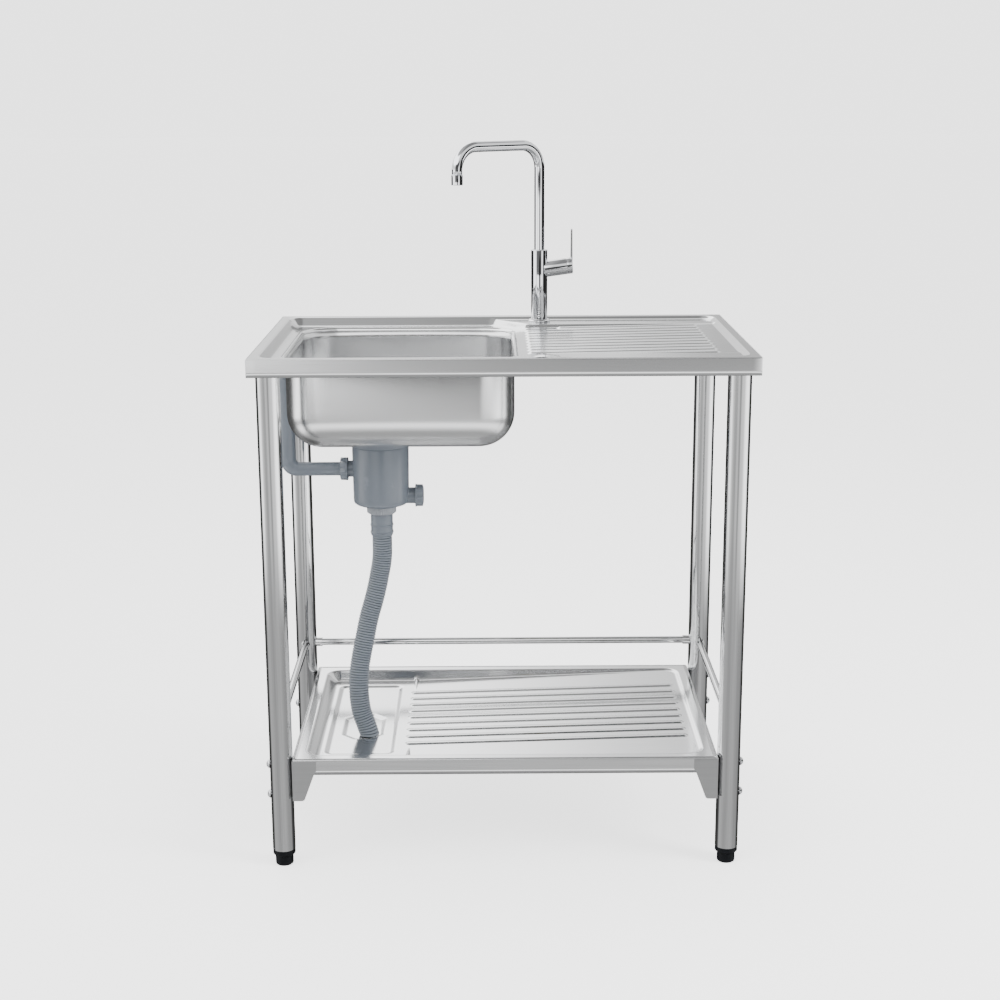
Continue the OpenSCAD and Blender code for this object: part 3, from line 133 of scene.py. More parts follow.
def math_node(tree, op, a, b=None, c=None):
    """A Math node whose inputs are sockets or numbers."""
    n = add(tree, "ShaderNodeMath", operation=op)
    for i, v in enumerate((a, b, c)):
        if v is None:
            continue
        if isinstance(v, (int, float)):
            n.inputs[i].default_value = v
        else:
            tree.links.new(v, n.inputs[i])
    return n.outputs[0]


def put_out(g, outputs, first, share, second, height):
    """Links a group's tone, a share of one noise and the rest of another, and its height."""
    tone = math_node(g, "ADD", math_node(g, "MULTIPLY", first.outputs[0], share),
                     math_node(g, "MULTIPLY", second.outputs[0], 1 - share))
    g.links.new(tone, outputs.inputs["Tone"])
    g.links.new(height.outputs[0], outputs.inputs["Height"])
    return g


def brushed_group():
    """Brushed metal: noise stretched along one direction, put out as a tone and a height."""
    g, i, o = new_group("brushed_grain", [
        ("Vector", "NodeSocketVector", None), ("Across", "NodeSocketFloat", 900.0),
        ("Along", "NodeSocketFloat", 12.0)], TONE_AND_HEIGHT)
    sep = fed(g, "ShaderNodeSeparateXYZ", i.outputs["Vector"])
    comb = add(g, "ShaderNodeCombineXYZ")
    for axis, stretch in enumerate(("Along", "Across", "Across")):
        g.links.new(math_node(g, "MULTIPLY", sep.outputs[axis], i.outputs[stretch]),
                    comb.inputs[axis])
    fine = fed(g, "ShaderNodeTexNoise", comb.outputs[0], in_Scale=1.0, in_Detail=3.0,
               in_Roughness=0.6)
    broad = fed(g, "ShaderNodeTexNoise", i.outputs["Vector"], in_Scale=7.0, in_Detail=4.0)
    return put_out(g, o, fine, 0.7, broad, fine)


def mottle_group():
    """Handled surface: slow stains and fine specks, put out as a tone and a height."""
    g, i, o = new_group("moulded_mottle", [
        ("Vector", "NodeSocketVector", None), ("Grain", "NodeSocketFloat", 900.0)],
        TONE_AND_HEIGHT)
    slow = fed(g, "ShaderNodeTexNoise", i.outputs["Vector"], in_Scale=22.0, in_Detail=5.0,
               in_Roughness=0.55)
    fine = fed(g, "ShaderNodeTexNoise", i.outputs["Vector"], in_Detail=2.0)
    g.links.new(i.outputs["Grain"], fine.inputs["Scale"])
    return put_out(g, o, slow, 0.75, fine, fine)


GROUPS = {}


def group(name):
    """The named effect, built once."""
    if name not in GROUPS:
        GROUPS[name] = {"brushed": brushed_group, "mottle": mottle_group}[name]()
    return GROUPS[name]


def finish(name, effect, colours, rough, metallic, bump=0.0, turn=(0, 0, 0), grooves=False,
           **values):
    """A material: an effect's tone picks the colour and the roughness, its height the bump.
    With grooves, the mesh's own map darkens them: painted shade in the grooves, down to 0.12 of
    the colour at their bottoms."""
    m = bpy.data.materials.new(name)
    m.use_nodes = True
    t = m.node_tree
    bsdf = t.nodes["Principled BSDF"]
    bsdf.inputs["Metallic"].default_value = metallic
    place = add(t, "ShaderNodeTexCoord")
    turned = fed(t, "ShaderNodeMapping", place.outputs["Object"], in_Rotation=turn)
    g = fed(t, "ShaderNodeGroup", turned.outputs[0], node_tree=group(effect))
    for k, v in values.items():
        if k in g.inputs:
            g.inputs[k].default_value = v
        else:
            bsdf.inputs[k.replace("_", " ")].default_value = v
    ramp = fed(t, "ShaderNodeValToRGB", g.outputs["Tone"])
    for stop, at, c in zip(ramp.color_ramp.elements, (TONE_LOW, TONE_HIGH), colours):
        stop.position, stop.color = at, (*c, 1)
    colour = ramp.outputs[0]
    # Painted shade: the grooves' own map darkens the colour between the ribs
    if grooves:
        own = add(t, "ShaderNodeUVMap", uv_map="grooves")
        level = fed(t, "ShaderNodeSeparateXYZ", own.outputs[0])
        depth = fed(t, "ShaderNodeMapRange", level.outputs[0], in_1=0.15, in_2=0.90,
                    in_3=0.12, in_4=1.0)
        groove_shade = fed(t, "ShaderNodeVectorMath", colour, operation="SCALE")
        t.links.new(depth.outputs[0], groove_shade.inputs["Scale"])
        colour = groove_shade.outputs[0]
    t.links.new(colour, bsdf.inputs["Base Color"])
    span = fed(t, "ShaderNodeMapRange", g.outputs["Tone"], in_1=TONE_LOW, in_2=TONE_HIGH,
               in_3=rough[0], in_4=rough[1])
    t.links.new(span.outputs[0], bsdf.inputs["Roughness"])
    if bump:
        b = add(t, "ShaderNodeBump", in_Strength=bump, in_Distance=0.0002)
        t.links.new(g.outputs["Height"], b.inputs["Height"])
        t.links.new(b.outputs[0], bsdf.inputs["Normal"])
    return m


def shade(colour, share):
    """The colour made lighter or darker by a share."""
    return tuple(min(1.0, c * share) for c in colour)


FINISH = {}
FLAT, UPRIGHT = (0, 0, 0), (0, math.pi / 2, 0)


def make_finishes():
    """Every finish of the unit, by name."""
    c = bpy.context.scene.sink_colours

    def steel(name, low, high, rough, bump, across, along, turn=FLAT):
        """Brushed steel, between two shares of its colour."""
        return finish(name, "brushed", (shade(c.steel, low), shade(c.steel, high)), rough,
                      1.0, bump, turn, Across=across, Along=along)

    def coat(name, base, low, high, rough, bump, grain=1500.0, metallic=0.0, **more):
        """Plating or plastic, between two shares of a colour."""
        return finish(name, "mottle", (shade(base, low), shade(base, high)), rough, metallic,
                      bump, Grain=grain, **more)

    # Painted light and shade: the deck and the bowl take lighter shares of the one steel colour,
    # and the legs a darker one, in place of brighter and darker reflections
    FINISH.update({
        "deck": steel("deck_satin_steel_painted_light", 1.08, 1.17, (0.09, 0.14), 0.03, 700.0, 9.0),
        "bowl": steel("bowl_brushed_steel_painted_light", 1.22, 1.25, (0.22, 0.26), 0.012, 520.0, 8.0,
                      UPRIGHT),
        # Painted shade: a darker copy of the bowl's steel for its inside
        "inside": steel("bowl_inside_steel_painted_shade", 0.99, 1.04, (0.20, 0.25), 0.008, 300.0, 5.0,
                        UPRIGHT),
        "shelf": steel("shelf_bright_steel", 0.98, 1.05, (0.12, 0.16), 0.015, 500.0, 7.0),
        "tube": steel("tube_steel_painted_shade", 0.76, 0.86, (0.05, 0.09), 0.03, 900.0, 10.0,
                      UPRIGHT),
        "rail": steel("rail_bright_steel", 0.94, 1.05, (0.07, 0.12), 0.03, 900.0, 10.0),
        "bracket": steel("bracket_satin_steel", 0.46, 0.50, (0.30, 0.36), 0.02, 700.0, 9.0),
        "chrome": coat("tap_chrome", c.chrome, 0.98, 1.0, (0.02, 0.05), 0.0, 900.0, 1.0),
        "bolt": coat("bolt_plating", c.chrome, 0.55, 0.65, (0.10, 0.18), 0.05, 900.0, 1.0),
        "plastic": coat("waste_grey_plastic", c.plastic, 0.98, 1.02, (0.22, 0.28), 0.03),
        "hose": coat("hose_grey_plastic", c.plastic, 1.10, 1.18, (0.26, 0.34), 0.03,
                     grooves=True),
        "light": coat("nut_light_plastic", c.light, 0.94, 1.06, (0.26, 0.36), 0.05),
        "black": coat("foot_black_plastic", c.black, 0.5, 0.9, (0.30, 0.40), 0.10, 1800.0,
                      Specular_IOR_Level=0.12),
        "rubber": finish("gasket_rubber", "mottle", ((0.012, 0.012, 0.013),
                                                     (0.022, 0.022, 0.023)),
                         (0.6, 0.75), 0.0, 0.2, Grain=1300.0),
        "brass": finish("turned_brass", "brushed", ((0.55, 0.38, 0.16), (0.66, 0.47, 0.21)),
                        (0.22, 0.34), 1.0, 0.1, UPRIGHT, Across=800.0, Along=20.0)})


# Surfaces

def surface(name, body, material, verts, quads):
    """A mesh piece from arrays of points and faces, riding on a body."""
    me = bpy.data.meshes.new(name)
    me.from_pydata(np.asarray(verts).tolist(), [], np.asarray(quads).tolist())
    me.materials.append(material)
    me.polygons.foreach_set("use_smooth", np.full(len(me.polygons), True))
    me.update()
    ob = bpy.data.objects.new(name, me)
    bpy.context.scene.collection.objects.link(ob)
    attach(ob, body)
    return ob


def own_map(ob, name, values):
    """Keeps one value per point in a map of the mesh's own, for its material to read as U."""
    me = ob.data
    index = np.empty(len(me.loops), int)
    me.loops.foreach_get("vertex_index", index)
    uv = np.stack([values[index], np.zeros(len(index))], -1)
    me.uv_layers.new(name=name).data.foreach_set("uv", uv.ravel())


def grid_quads(rows, cols, wrap=False):
    """Faces of a grid of rows x cols points; wrap joins its last column to the first."""
    r, c = np.meshgrid(np.arange(rows - 1), np.arange(cols if wrap else cols - 1),
                       indexing="ij")
    c1 = (c + 1) % cols
    q = np.stack([r * cols + c, r * cols + c1, (r + 1) * cols + c1, (r + 1) * cols + c], -1)
    return q.reshape(-1, 4)


def turned(profile, around):
    """A profile of (radius, height) turned about Z: point = (r cos a, r sin a, h)."""
    p = np.asarray(profile, float)
    a = np.linspace(0, 2 * math.pi, around, endpoint=False)
    return np.stack([p[:, None, 0] * np.cos(a), p[:, None, 0] * np.sin(a),
                     np.broadcast_to(p[:, None, 1], (len(p), around))], -1)


def close_rings(v):
    """Joins a stack of rings into a torus-like skin, the last ring to the first."""
    rows, cols = v.shape[:2]
    q = grid_quads(rows, cols, wrap=True)
    c = np.arange(cols)
    c1 = (c + 1) % cols
    last = (rows - 1) * cols
    return v.reshape(-1, 3), np.concatenate(
        [q, np.stack([last + c, last + c1, c1, c], -1)])


def rotation_to(direction):
    """The rotation that turns +Z to a direction."""
    return np.array(Vector(direction).to_track_quat("Z", "Y").to_matrix())


def along_curve(points, n):
    """A smooth curve through points, even in length, with its tangents: Catmull-Rom spans."""
    p = np.asarray(points, float)
    q = np.concatenate([[2 * p[0] - p[1]], p, [2 * p[-1] - p[-2]]])
    t = np.linspace(0, 1, 24, endpoint=False)[:, None, None]
    a, b, c, d = q[:-3], q[1:-2], q[2:-1], q[3:]
    s = 0.5 * ((2 * b) + (c - a) * t + (2 * a - 5 * b + 4 * c - d) * t ** 2
               + (3 * b - a - 3 * c + d) * t ** 3)
    s = np.concatenate([s.transpose(1, 0, 2).reshape(-1, 3), p[-1:]])
    run = np.concatenate([[0], np.cumsum(np.linalg.norm(np.diff(s, axis=0), axis=1))])
    want = np.linspace(0, run[-1], n)
    out = np.stack([np.interp(want, run, s[:, k]) for k in range(3)], -1)
    tan = np.gradient(out, axis=0)
    return out, tan / np.linalg.norm(tan, axis=1)[:, None], run[-1]


def swept_rings(centres, tangents, radii, around):
    """Rings of given radii, square to a curve: point = centre + r (cos a U + sin a W)."""
    side = np.cross(np.array([0, 1, 0.0]), tangents)
    side /= np.linalg.norm(side, axis=1)[:, None]
    other = np.cross(tangents, side)
    a = np.linspace(0, 2 * math.pi, around, endpoint=False)
    return (centres[:, None] + radii[:, None, None]
            * (np.cos(a)[None, :, None] * side[:, None]
               + np.sin(a)[None, :, None] * other[:, None]))


# Camera and light

# The photo's camera: place, angles in degrees, and focal length as a share of the picture;
# and the sensor's width in mm
CAMERA = {"place": (-24.19 * MM, -2848.78 * MM, 1272.65 * MM), "yaw": 0.3765,
          "pitch": 13.787, "roll": 0.2135, "focal": 1699.23 / 1000}
SENSOR = 36

# Studio seen by the metal, as shares of full light. "low", "foot" and "tap", named after what
# mirrors them, and the masks "dark" and "arm" run by azimuth, where 0.5 is the camera's side.
# "height" runs by z from straight down at 0 to straight up at 1.
STUDIO = {
    "low": ((0.0, 0.03), (0.12, 0.03), (0.195, 0.06), (0.23, 0.90), (0.275, 0.80),
            (0.32, 0.36), (0.37, 0.20), (0.42, 0.17), (0.45, 0.27), (0.476, 0.30),
            (0.488, 0.24), (0.498, 0.18), (0.508, 0.15), (0.528, 0.16), (0.545, 0.34),
            (0.62, 0.42), (0.655, 0.80), (0.69, 1.0), (0.76, 1.0), (0.785, 0.14),
            (0.84, 0.01), (1.0, 0.02)),
    "foot": ((0.0, 0.03), (0.12, 0.05), (0.20, 0.09), (0.26, 0.20), (0.34, 0.17),
             (0.42, 0.14), (0.50, 0.18), (0.58, 0.19), (0.66, 0.14), (0.76, 0.12),
             (0.84, 0.05), (0.90, 0.01), (1.0, 0.02)),
    "tap": ((0.0, 0.005), (0.24, 0.005), (0.27, 0.75), (0.33, 0.85), (0.38, 0.45),
            (0.44, 0.80), (0.478, 0.75), (0.488, 0.03), (0.542, 0.03), (0.555, 0.55),
            (0.60, 0.60), (0.66, 0.40), (0.70, 0.20), (0.76, 0.14), (0.775, 0.008),
            (1.0, 0.005)),
    "dark": ((0.0, 0.0), (0.375, 0.0), (0.40, 0.94), (0.575, 0.94), (0.60, 0.0),
             (1.0, 0.0)),
    "arm": ((0.0, 0.0), (0.63, 0.0), (0.66, 1.0), (0.76, 1.0), (0.79, 0.0), (1.0, 0.0)),
    "height": ((0.0, 0.12), (0.06, 0.10), (0.10, 0.18), (0.18, 0.55), (0.25, 0.50),
               (0.28, 0.24), (0.31, 0.18), (0.35, 0.17), (0.49, 0.60), (0.53, 0.62),
               (0.552, 0.36), (0.60, 0.32), (0.635, 0.50), (0.665, 0.98), (0.71, 0.98),
               (0.75, 0.95), (0.86, 0.95), (0.895, 0.16), (1.0, 0.14)),
    "backdrop": 0.70, "soft": 0.11, "strength": 4.0, "floor": 2.0}

# Ranges of a direction's z over which one part of the studio gives way to the next; those of
# "fade_deck" and "fade_shelf" are of its x, and that of "behind" of its y
BAND = {"tap": (-0.155, -0.14), "foot": (-0.24, -0.31), "above": (0.0, 0.07),
        "below": (-0.42, -0.50), "shelf": (0.20, 0.28), "fade_deck": (0.06, 0.14),
        "fade_shelf": (-0.10, 0.10), "fade_up": (0.03, 0.10), "behind": (0.05, 0.35),
        "behind_low": (-0.12, -0.20), "dark_top": (0.30, 0.38), "dark": (-0.066, -0.058),
        "arm": (-0.155, -0.145)}
# How far a darkening goes, and the tone it goes to
SHARE = {"fade_deck": 0.55, "fade_shelf": 0.68, "behind": 0.92}
BLACK = {"fade": 0.04, "behind": 0.015, "dark": 0.006}

# Area lights that plastic takes its shape from: name, place, aim, width, height and power
LAMPS = (("key_left", (-2.6, -1.8, 2.6), (0, 0, 0.7), 1.6, 2.0, 34),
         ("key_right", (2.8, -1.4, 1.9), (0, 0, 0.6), 1.2, 2.2, 110),
         ("top", (0.2, 0.1, 3.2), (0, 0, 0.8), 2.2, 1.6, 60))


class SINK_OT_stage(bpy.types.Operator):
    """Camera, pale floor and soft studio light"""
    bl_idname = "sink.stage"
    bl_label = "Studio"

    def execute(self, context):
        scene = context.scene
        yaw, pitch, roll = (math.radians(CAMERA[k]) for k in ("yaw", "pitch", "roll"))
        look = np.array([math.sin(yaw) * math.cos(pitch), math.cos(yaw) * math.cos(pitch),
                         -math.sin(pitch)])
        right = np.array([math.cos(yaw), -math.sin(yaw), 0])
        down = np.cross(look, right)
        across = math.cos(roll) * right + math.sin(roll) * down
        under = -math.sin(roll) * right + math.cos(roll) * down
        cam = bpy.data.objects.new("camera", bpy.data.cameras.new("camera"))
        cam.data.sensor_width = SENSOR
        cam.data.lens = SENSOR * CAMERA["focal"]
        cam.data.clip_end = 60
        rows = np.stack([across, -under, -look, CAMERA["place"]], 1)
        cam.matrix_world = Matrix([*rows.tolist(), (0, 0, 0, 1)])
        scene.collection.objects.link(cam)
        scene.camera = cam

        self.floor(scene)
        self.world(scene)
        for name, place, aim, wide, high, power in LAMPS:
            data = bpy.data.lights.new(name, "AREA")
            data.shape, data.size, data.size_y, data.energy = "RECTANGLE", wide, high, power
            lamp = bpy.data.objects.new(name, data)
            lamp.location = place
            lamp.rotation_euler = (Vector(aim) - Vector(place)).to_track_quat(
                "-Z", "Y").to_euler()
            lamp.visible_glossy = False
            scene.collection.objects.link(lamp)
        return {"FINISHED"}

    @staticmethod
    def floor(scene):
        """A pale floor, lit evenly; the metal mirrors the studio below it instead of it."""
        mat = bpy.data.materials.new("studio_floor")
        mat.use_nodes = True
        t = mat.node_tree
        bsdf = t.nodes["Principled BSDF"]
        bsdf.inputs["Base Color"].default_value = (0.93, 0.93, 0.93, 1)
        bsdf.inputs["Roughness"].default_value = 0.95
        bsdf.inputs["Specular IOR Level"].default_value = 0.1
        path = add(t, "ShaderNodeLightPath")
        lift = math_node(t, "MULTIPLY", path.outputs["Is Camera Ray"], STUDIO["floor"])
        bsdf.inputs["Emission Color"].default_value = (1, 1, 1, 1)
        t.links.new(lift, bsdf.inputs["Emission Strength"])
        clear = add(t, "ShaderNodeBsdfTransparent")
        mix = add(t, "ShaderNodeMixShader")
        t.links.new(path.outputs["Is Glossy Ray"], mix.inputs[0])
        t.links.new(bsdf.outputs[0], mix.inputs[1])
        t.links.new(clear.outputs[0], mix.inputs[2])
        t.links.new(mix.outputs[0], t.nodes["Material Output"].inputs["Surface"])
        me = bpy.data.meshes.new("studio_floor")
        size = 40.0
        me.from_pydata([(-size, -size, 0), (size, -size, 0), (size, size, 0),
                        (-size, size, 0)], [], [(0, 1, 2, 3)])
        me.materials.append(mat)
        ob = bpy.data.objects.new("studio_floor", me)
        scene.collection.objects.link(ob)

    @staticmethod
    def world(scene):
        """Pale to the camera and soft to plastic; to the metal, a studio by azimuth
        a = atan2(x, -y) / 2 pi + 1/2 near the horizon and by height further up and down,
        with a dark patch on the camera's side and a dark room behind."""
        world = bpy.data.worlds.new("studio")
        scene.world = world
        world.use_nodes = True
        t = world.node_tree
        back = t.nodes["Background"]
        coord = add(t, "ShaderNodeTexCoord")
        sep = fed(t, "ShaderNodeSeparateXYZ", coord.outputs["Generated"])
        minus = math_node(t, "MULTIPLY", sep.outputs[1], -1.0)
        angle = math_node(t, "ARCTAN2", sep.outputs[0], minus)
        turn = math_node(t, "MULTIPLY_ADD", angle, 0.5 / math.pi, 0.5)

        def ramp(name, source):
            node = fed(t, "ShaderNodeValToRGB", source)
            e = node.color_ramp.elements
            e.remove(e[-1])
            (e[0].position, first), *rest = STUDIO[name]
            e[0].color = (first,) * 3 + (1,)
            for pos, v in rest:
                e.new(pos).color = (v, v, v, 1)
            return node.outputs[0]

        def blend(fac, a, b):
            node = fed(t, "ShaderNodeMix", fac, data_type="RGBA")
            for socket, v in ((node.inputs[6], a), (node.inputs[7], b)):
                if isinstance(v, float):
                    socket.default_value = (v, v, v, 1)
                else:
                    t.links.new(v, socket)
            return node.outputs[2]

        def rise(name, axis=2):
            lo, hi = BAND[name]
            return fed(t, "ShaderNodeMapRange", sep.outputs[axis],
                       interpolation_type="SMOOTHSTEP", in_1=lo, in_2=hi).outputs[0]

        def both(a, b):
            return math_node(t, "MULTIPLY", a, b)

        near = blend(rise("tap"), ramp("low", turn), ramp("tap", turn))
        near = blend(rise("foot"), near, ramp("foot", turn))
        high = ramp("height", math_node(t, "MULTIPLY_ADD", sep.outputs[2], 0.5, 0.5))
        # Light from above fades to the right: slowly for the shelf, at once for the deck
        fade = blend(rise("shelf"), both(rise("fade_deck", 0), SHARE["fade_deck"]),
                     both(rise("fade_shelf", 0), SHARE["fade_shelf"]))
        high = blend(both(fade, rise("fade_up")), high, BLACK["fade"])
        far = math_node(t, "MAXIMUM", rise("above"), rise("below"))
        tone = blend(far, near, high)
        # The room behind the unit is dark below the horizon
        behind = both(both(rise("behind", 1), rise("behind_low")), SHARE["behind"])
        tone = blend(behind, tone, BLACK["behind"])
        top = rise("dark_top")
        dark = both(ramp("dark", turn), math_node(t, "SUBTRACT", rise("dark"), top))
        arm = both(ramp("arm", turn), math_node(t, "SUBTRACT", rise("arm"), top))
        tone = blend(math_node(t, "MAXIMUM", dark, arm), tone, BLACK["dark"])
        path = add(t, "ShaderNodeLightPath")
        lit = blend(path.outputs["Is Diffuse Ray"], tone, STUDIO["soft"])
        seen = blend(path.outputs["Is Camera Ray"], lit, STUDIO["backdrop"])
        t.links.new(seen, back.inputs["Color"])
        back.inputs["Strength"].default_value = STUDIO["strength"]


class SINK_OT_hose(bpy.types.Operator):
    """Ribbed waste hose from the cuff to its bare end on the shelf"""
    bl_idname = "sink.hose"
    bl_label = "Waste hose"

    def execute(self, context):
        w = context.scene.sink_waste
        rows = w.ribs * RIB_ROWS + 1
        c, t, length = along_curve(HOSE_ROUTE, rows)
        t[0] = (0, 0, -1)
        # The last ribs turn level, so that the cut end stands flat on the shelf
        span = LEVEL_RIBS * RIB_ROWS
        turn = np.clip((np.arange(rows) - rows + 1 + span) / span, 0, 1)[:, None] ** 2
        t = t * (1 - turn) + turn * np.array([0, 0, -1.0])
        t /= np.linalg.norm(t, axis=1)[:, None]
        # Each rib's pitch has a rounded swell and a narrow groove
        phase = np.linspace(0, w.ribs, rows) % 1.0
        swell = np.clip(1 - np.abs(2 * phase - 1) ** 2.4, 0, 1) ** 0.6
        outer = swept_rings(c, t, w.outer - w.depth * (1 - swell), HOSE_AROUND)
        inner = swept_rings(c[::RIB_ROWS], t[::RIB_ROWS], np.full(w.ribs + 1, w.bore),
                            HOSE_AROUND)[::-1]
        v, q = close_rings(np.concatenate([outer, inner]))
        ob = surface("waste_hose", "frame", FINISH["hose"], v, q[:, ::-1])
        # The map holds each row's swell, which the material turns into painted shade in the
        # grooves; the bore keeps its full colour
        own_map(ob, "grooves", np.concatenate([np.repeat(swell, HOSE_AROUND),
                                               np.ones(inner.shape[0] * HOSE_AROUND)]))
        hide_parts("drain_hose")
        return {"FINISHED"}


# Pressed sheets

# Points closer than this, in metres, are joined
WELD = 2e-6


def soft_max(a, b, k):
    """The greater of two heights, with a fillet of size k where they meet."""
    h = np.clip(0.5 + 0.5 * (a - b) / k, 0, 1)
    return b + (a - b) * h + k * h * (1 - h)


def soft_min(a, b, k):
    """The lesser of two heights, with a fillet of size k where they meet."""
    return -soft_max(-a, -b, k)


def round_rect(x, y, half_w, half_d, r):
    """Signed distance to a rounded rectangle about the origin, negative inside."""
    qx, qy = np.abs(x) - half_w + r, np.abs(y) - half_d + r
    return (np.hypot(np.maximum(qx, 0), np.maximum(qy, 0))
            + np.minimum(np.maximum(qx, qy), 0) - r)


def crest(x, y, x0, x1, y0, half_w, high):
    """Height of a round-ended rib over its line: the cap of a circle of radius R sunk so
    that its top stands high, h = high - R + sqrt(R^2 - distance^2)."""
    big = (half_w ** 2 + high ** 2) / (2 * high)
    away = np.hypot(x - np.clip(x, x0, x1), y - y0)
    return high - big + np.sqrt(np.maximum(big ** 2 - away ** 2, 0)) \
        - np.maximum(away - big, 0) * 2


def mirrored(at, size, reach=0.0):
    """Marks for graded on both sides of the middle."""
    return [(s * at - reach, s * at + reach, size) for s in (-1, 1)]


def graded(half, marks, coarse=12.0, growth=0.3):
    """Grid lines from -half to half: their spacing grows from each mark's own size."""
    x = np.linspace(-half, half, 6001)
    step = np.full_like(x, coarse)
    for m0, m1, size in marks:
        away = np.maximum(np.maximum(m0 - x, x - m1), 0)
        step = np.minimum(step, size + growth * away)
    run = np.concatenate([[0], np.cumsum(0.5 * (1 / step[1:] + 1 / step[:-1]) * np.diff(x))])
    n = int(math.ceil(run[-1]))
    return np.interp(np.linspace(0, run[-1], n + 1), run, x)


def folded_edge(half_w, half_d, top, low, r, steps=5):
    """Rows of a folded rim: a quarter round of radius r, then straight down to low. Each
    corner turns through a quarter too. Points run round the rectangle once."""
    side = np.linspace(-1, 1, 60)[:-1]
    w, d = half_w - r, half_d - r
    spans, angles = [], []
    for k in range(4):
        # Side k faces angle a; it runs counterclockwise to its next corner
        a = k * math.pi / 2
        c, s = math.cos(a), math.sin(a)
        out, along = (d, w) if k % 2 else (w, d)
        spans += [np.stack([out * c - along * side * s, out * s + along * side * c], -1),
                  np.repeat([[out * c - along * s, out * s + along * c]], steps, 0)]
        angles += [np.full(len(side), a), np.linspace(a, a + math.pi / 2, steps + 1)[:-1]]
    base, ang = np.concatenate(spans), np.concatenate(angles)
    face = np.stack([np.cos(ang), np.sin(ang)], -1)
    rows = [(r * math.sin(f), top - r * (1 - math.cos(f)))
            for f in np.linspace(0, math.pi / 2, 7)]
    # Two close rows keep the shading of the straight wall apart from the fold's
    rows += [(r, z) for z in (top - r - 0.35, top - r - 2.5)]
    rows += [(r, z) for z in np.linspace(top - r - 2.5, low, 4)[1:]]
    return np.stack([np.concatenate([base + face * u, np.full((len(base), 1), z)], 1)
                     for u, z in rows])


def pressed_sheet(name, material, p, marks_x, marks_y, height, hole=None, lip=0.0):
    """A pressed sheet: the surface z = height(x, y) on a graded grid, a folded edge all
    round, and where it has a hole a rolled lip of radius lip down its rim, in mm."""
    fold = bpy.context.scene.sink_sheet.fold / MM
    x, y = np.meshgrid(graded(p["half_w"] - fold, marks_x),
                       graded(p["half_d"] - fold, marks_y), indexing="ij")
    edge_rows = folded_edge(p["half_w"], p["half_d"], p["z"], p["z"] - p["apron"], fold)
    rows, cols = x.shape
    quads = grid_quads(rows, cols)[:, ::-1]
    parts, faces = [], []
    if hole is not None:
        cx, e = hole[0], 0.01

        def gap(x, y):
            return round_rect(x - cx, y, *hole[1:])

        keep = gap(x.ravel()[quads].mean(1), y.ravel()[quads].mean(1)) > 0
        used_in, used_out = np.zeros(rows * cols, bool), np.zeros(rows * cols, bool)
        used_in[quads[keep].ravel()] = True
        used_out[quads[~keep].ravel()] = True
        edge = np.nonzero(used_in & used_out)[0]
        px, py = x.ravel().copy(), y.ravel().copy()
        # Points by the hole step down the distance's slope on to its rim
        for _ in range(4):
            d = gap(px[edge], py[edge])
            gx = (gap(px[edge] + e, py[edge]) - d) / e
            gy = (gap(px[edge], py[edge] + e) - d) / e
            g = np.hypot(gx, gy)
            px[edge] -= d * gx / g ** 2
            py[edge] -= d * gy / g ** 2
        x, y = px.reshape(rows, cols), py.reshape(rows, cols)
        quads = quads[keep]
        order = edge[np.argsort(np.arctan2(py[edge], px[edge] - cx))]
        ex, ey = px[order], py[order]
        gx = gap(ex + e, ey) - gap(ex - e, ey)
        gy = gap(ex, ey + e) - gap(ex, ey - e)
        g = np.hypot(gx, gy)
        gx, gy = gx / g, gy / g
        z0 = height(ex, ey)
        turn = np.linspace(0, math.pi / 2, 9)[:, None]
        ring = np.stack([ex - gx * lip * np.sin(turn), ey - gy * lip * np.sin(turn),
                         z0 - lip * (1 - np.cos(turn))], -1)
        parts.append(ring.reshape(-1, 3))
        faces.append(grid_quads(len(turn), len(order), wrap=True)[:, ::-1])
    z = height(x, y)
    parts.insert(0, np.stack([x, y, z], -1).reshape(-1, 3))
    faces.insert(0, quads)
    parts.append(edge_rows.reshape(-1, 3))
    faces.append(grid_quads(*edge_rows.shape[:2], wrap=True)[:, ::-1])
    first = np.cumsum([0] + [len(part) for part in parts[:-1]])
    v = np.concatenate(parts) * MM
    f = np.concatenate([q + n for q, n in zip(faces, first)])
    ob = surface(name, "frame", material, v, f)
    weld(ob.data, WELD)
    thicken(ob)
    return ob


def thicken(ob):
    """Gives a surface the sheet's thickness on its inner side; returns the modifier."""
    sheet = ob.modifiers.new("sheet", "SOLIDIFY")
    sheet.thickness = bpy.context.scene.sink_sheet.thick
    sheet.offset = -1
    return sheet


def weld(me, gap):
    """Joins points that lie together, and drops what falls to nothing."""
    b = bmesh.new()
    b.from_mesh(me)
    bmesh.ops.remove_doubles(b, verts=b.verts, dist=gap)
    loose = [v for v in b.verts if not v.link_faces]
    bmesh.ops.delete(b, geom=loose, context="VERTS")
    b.to_mesh(me)
    b.free()


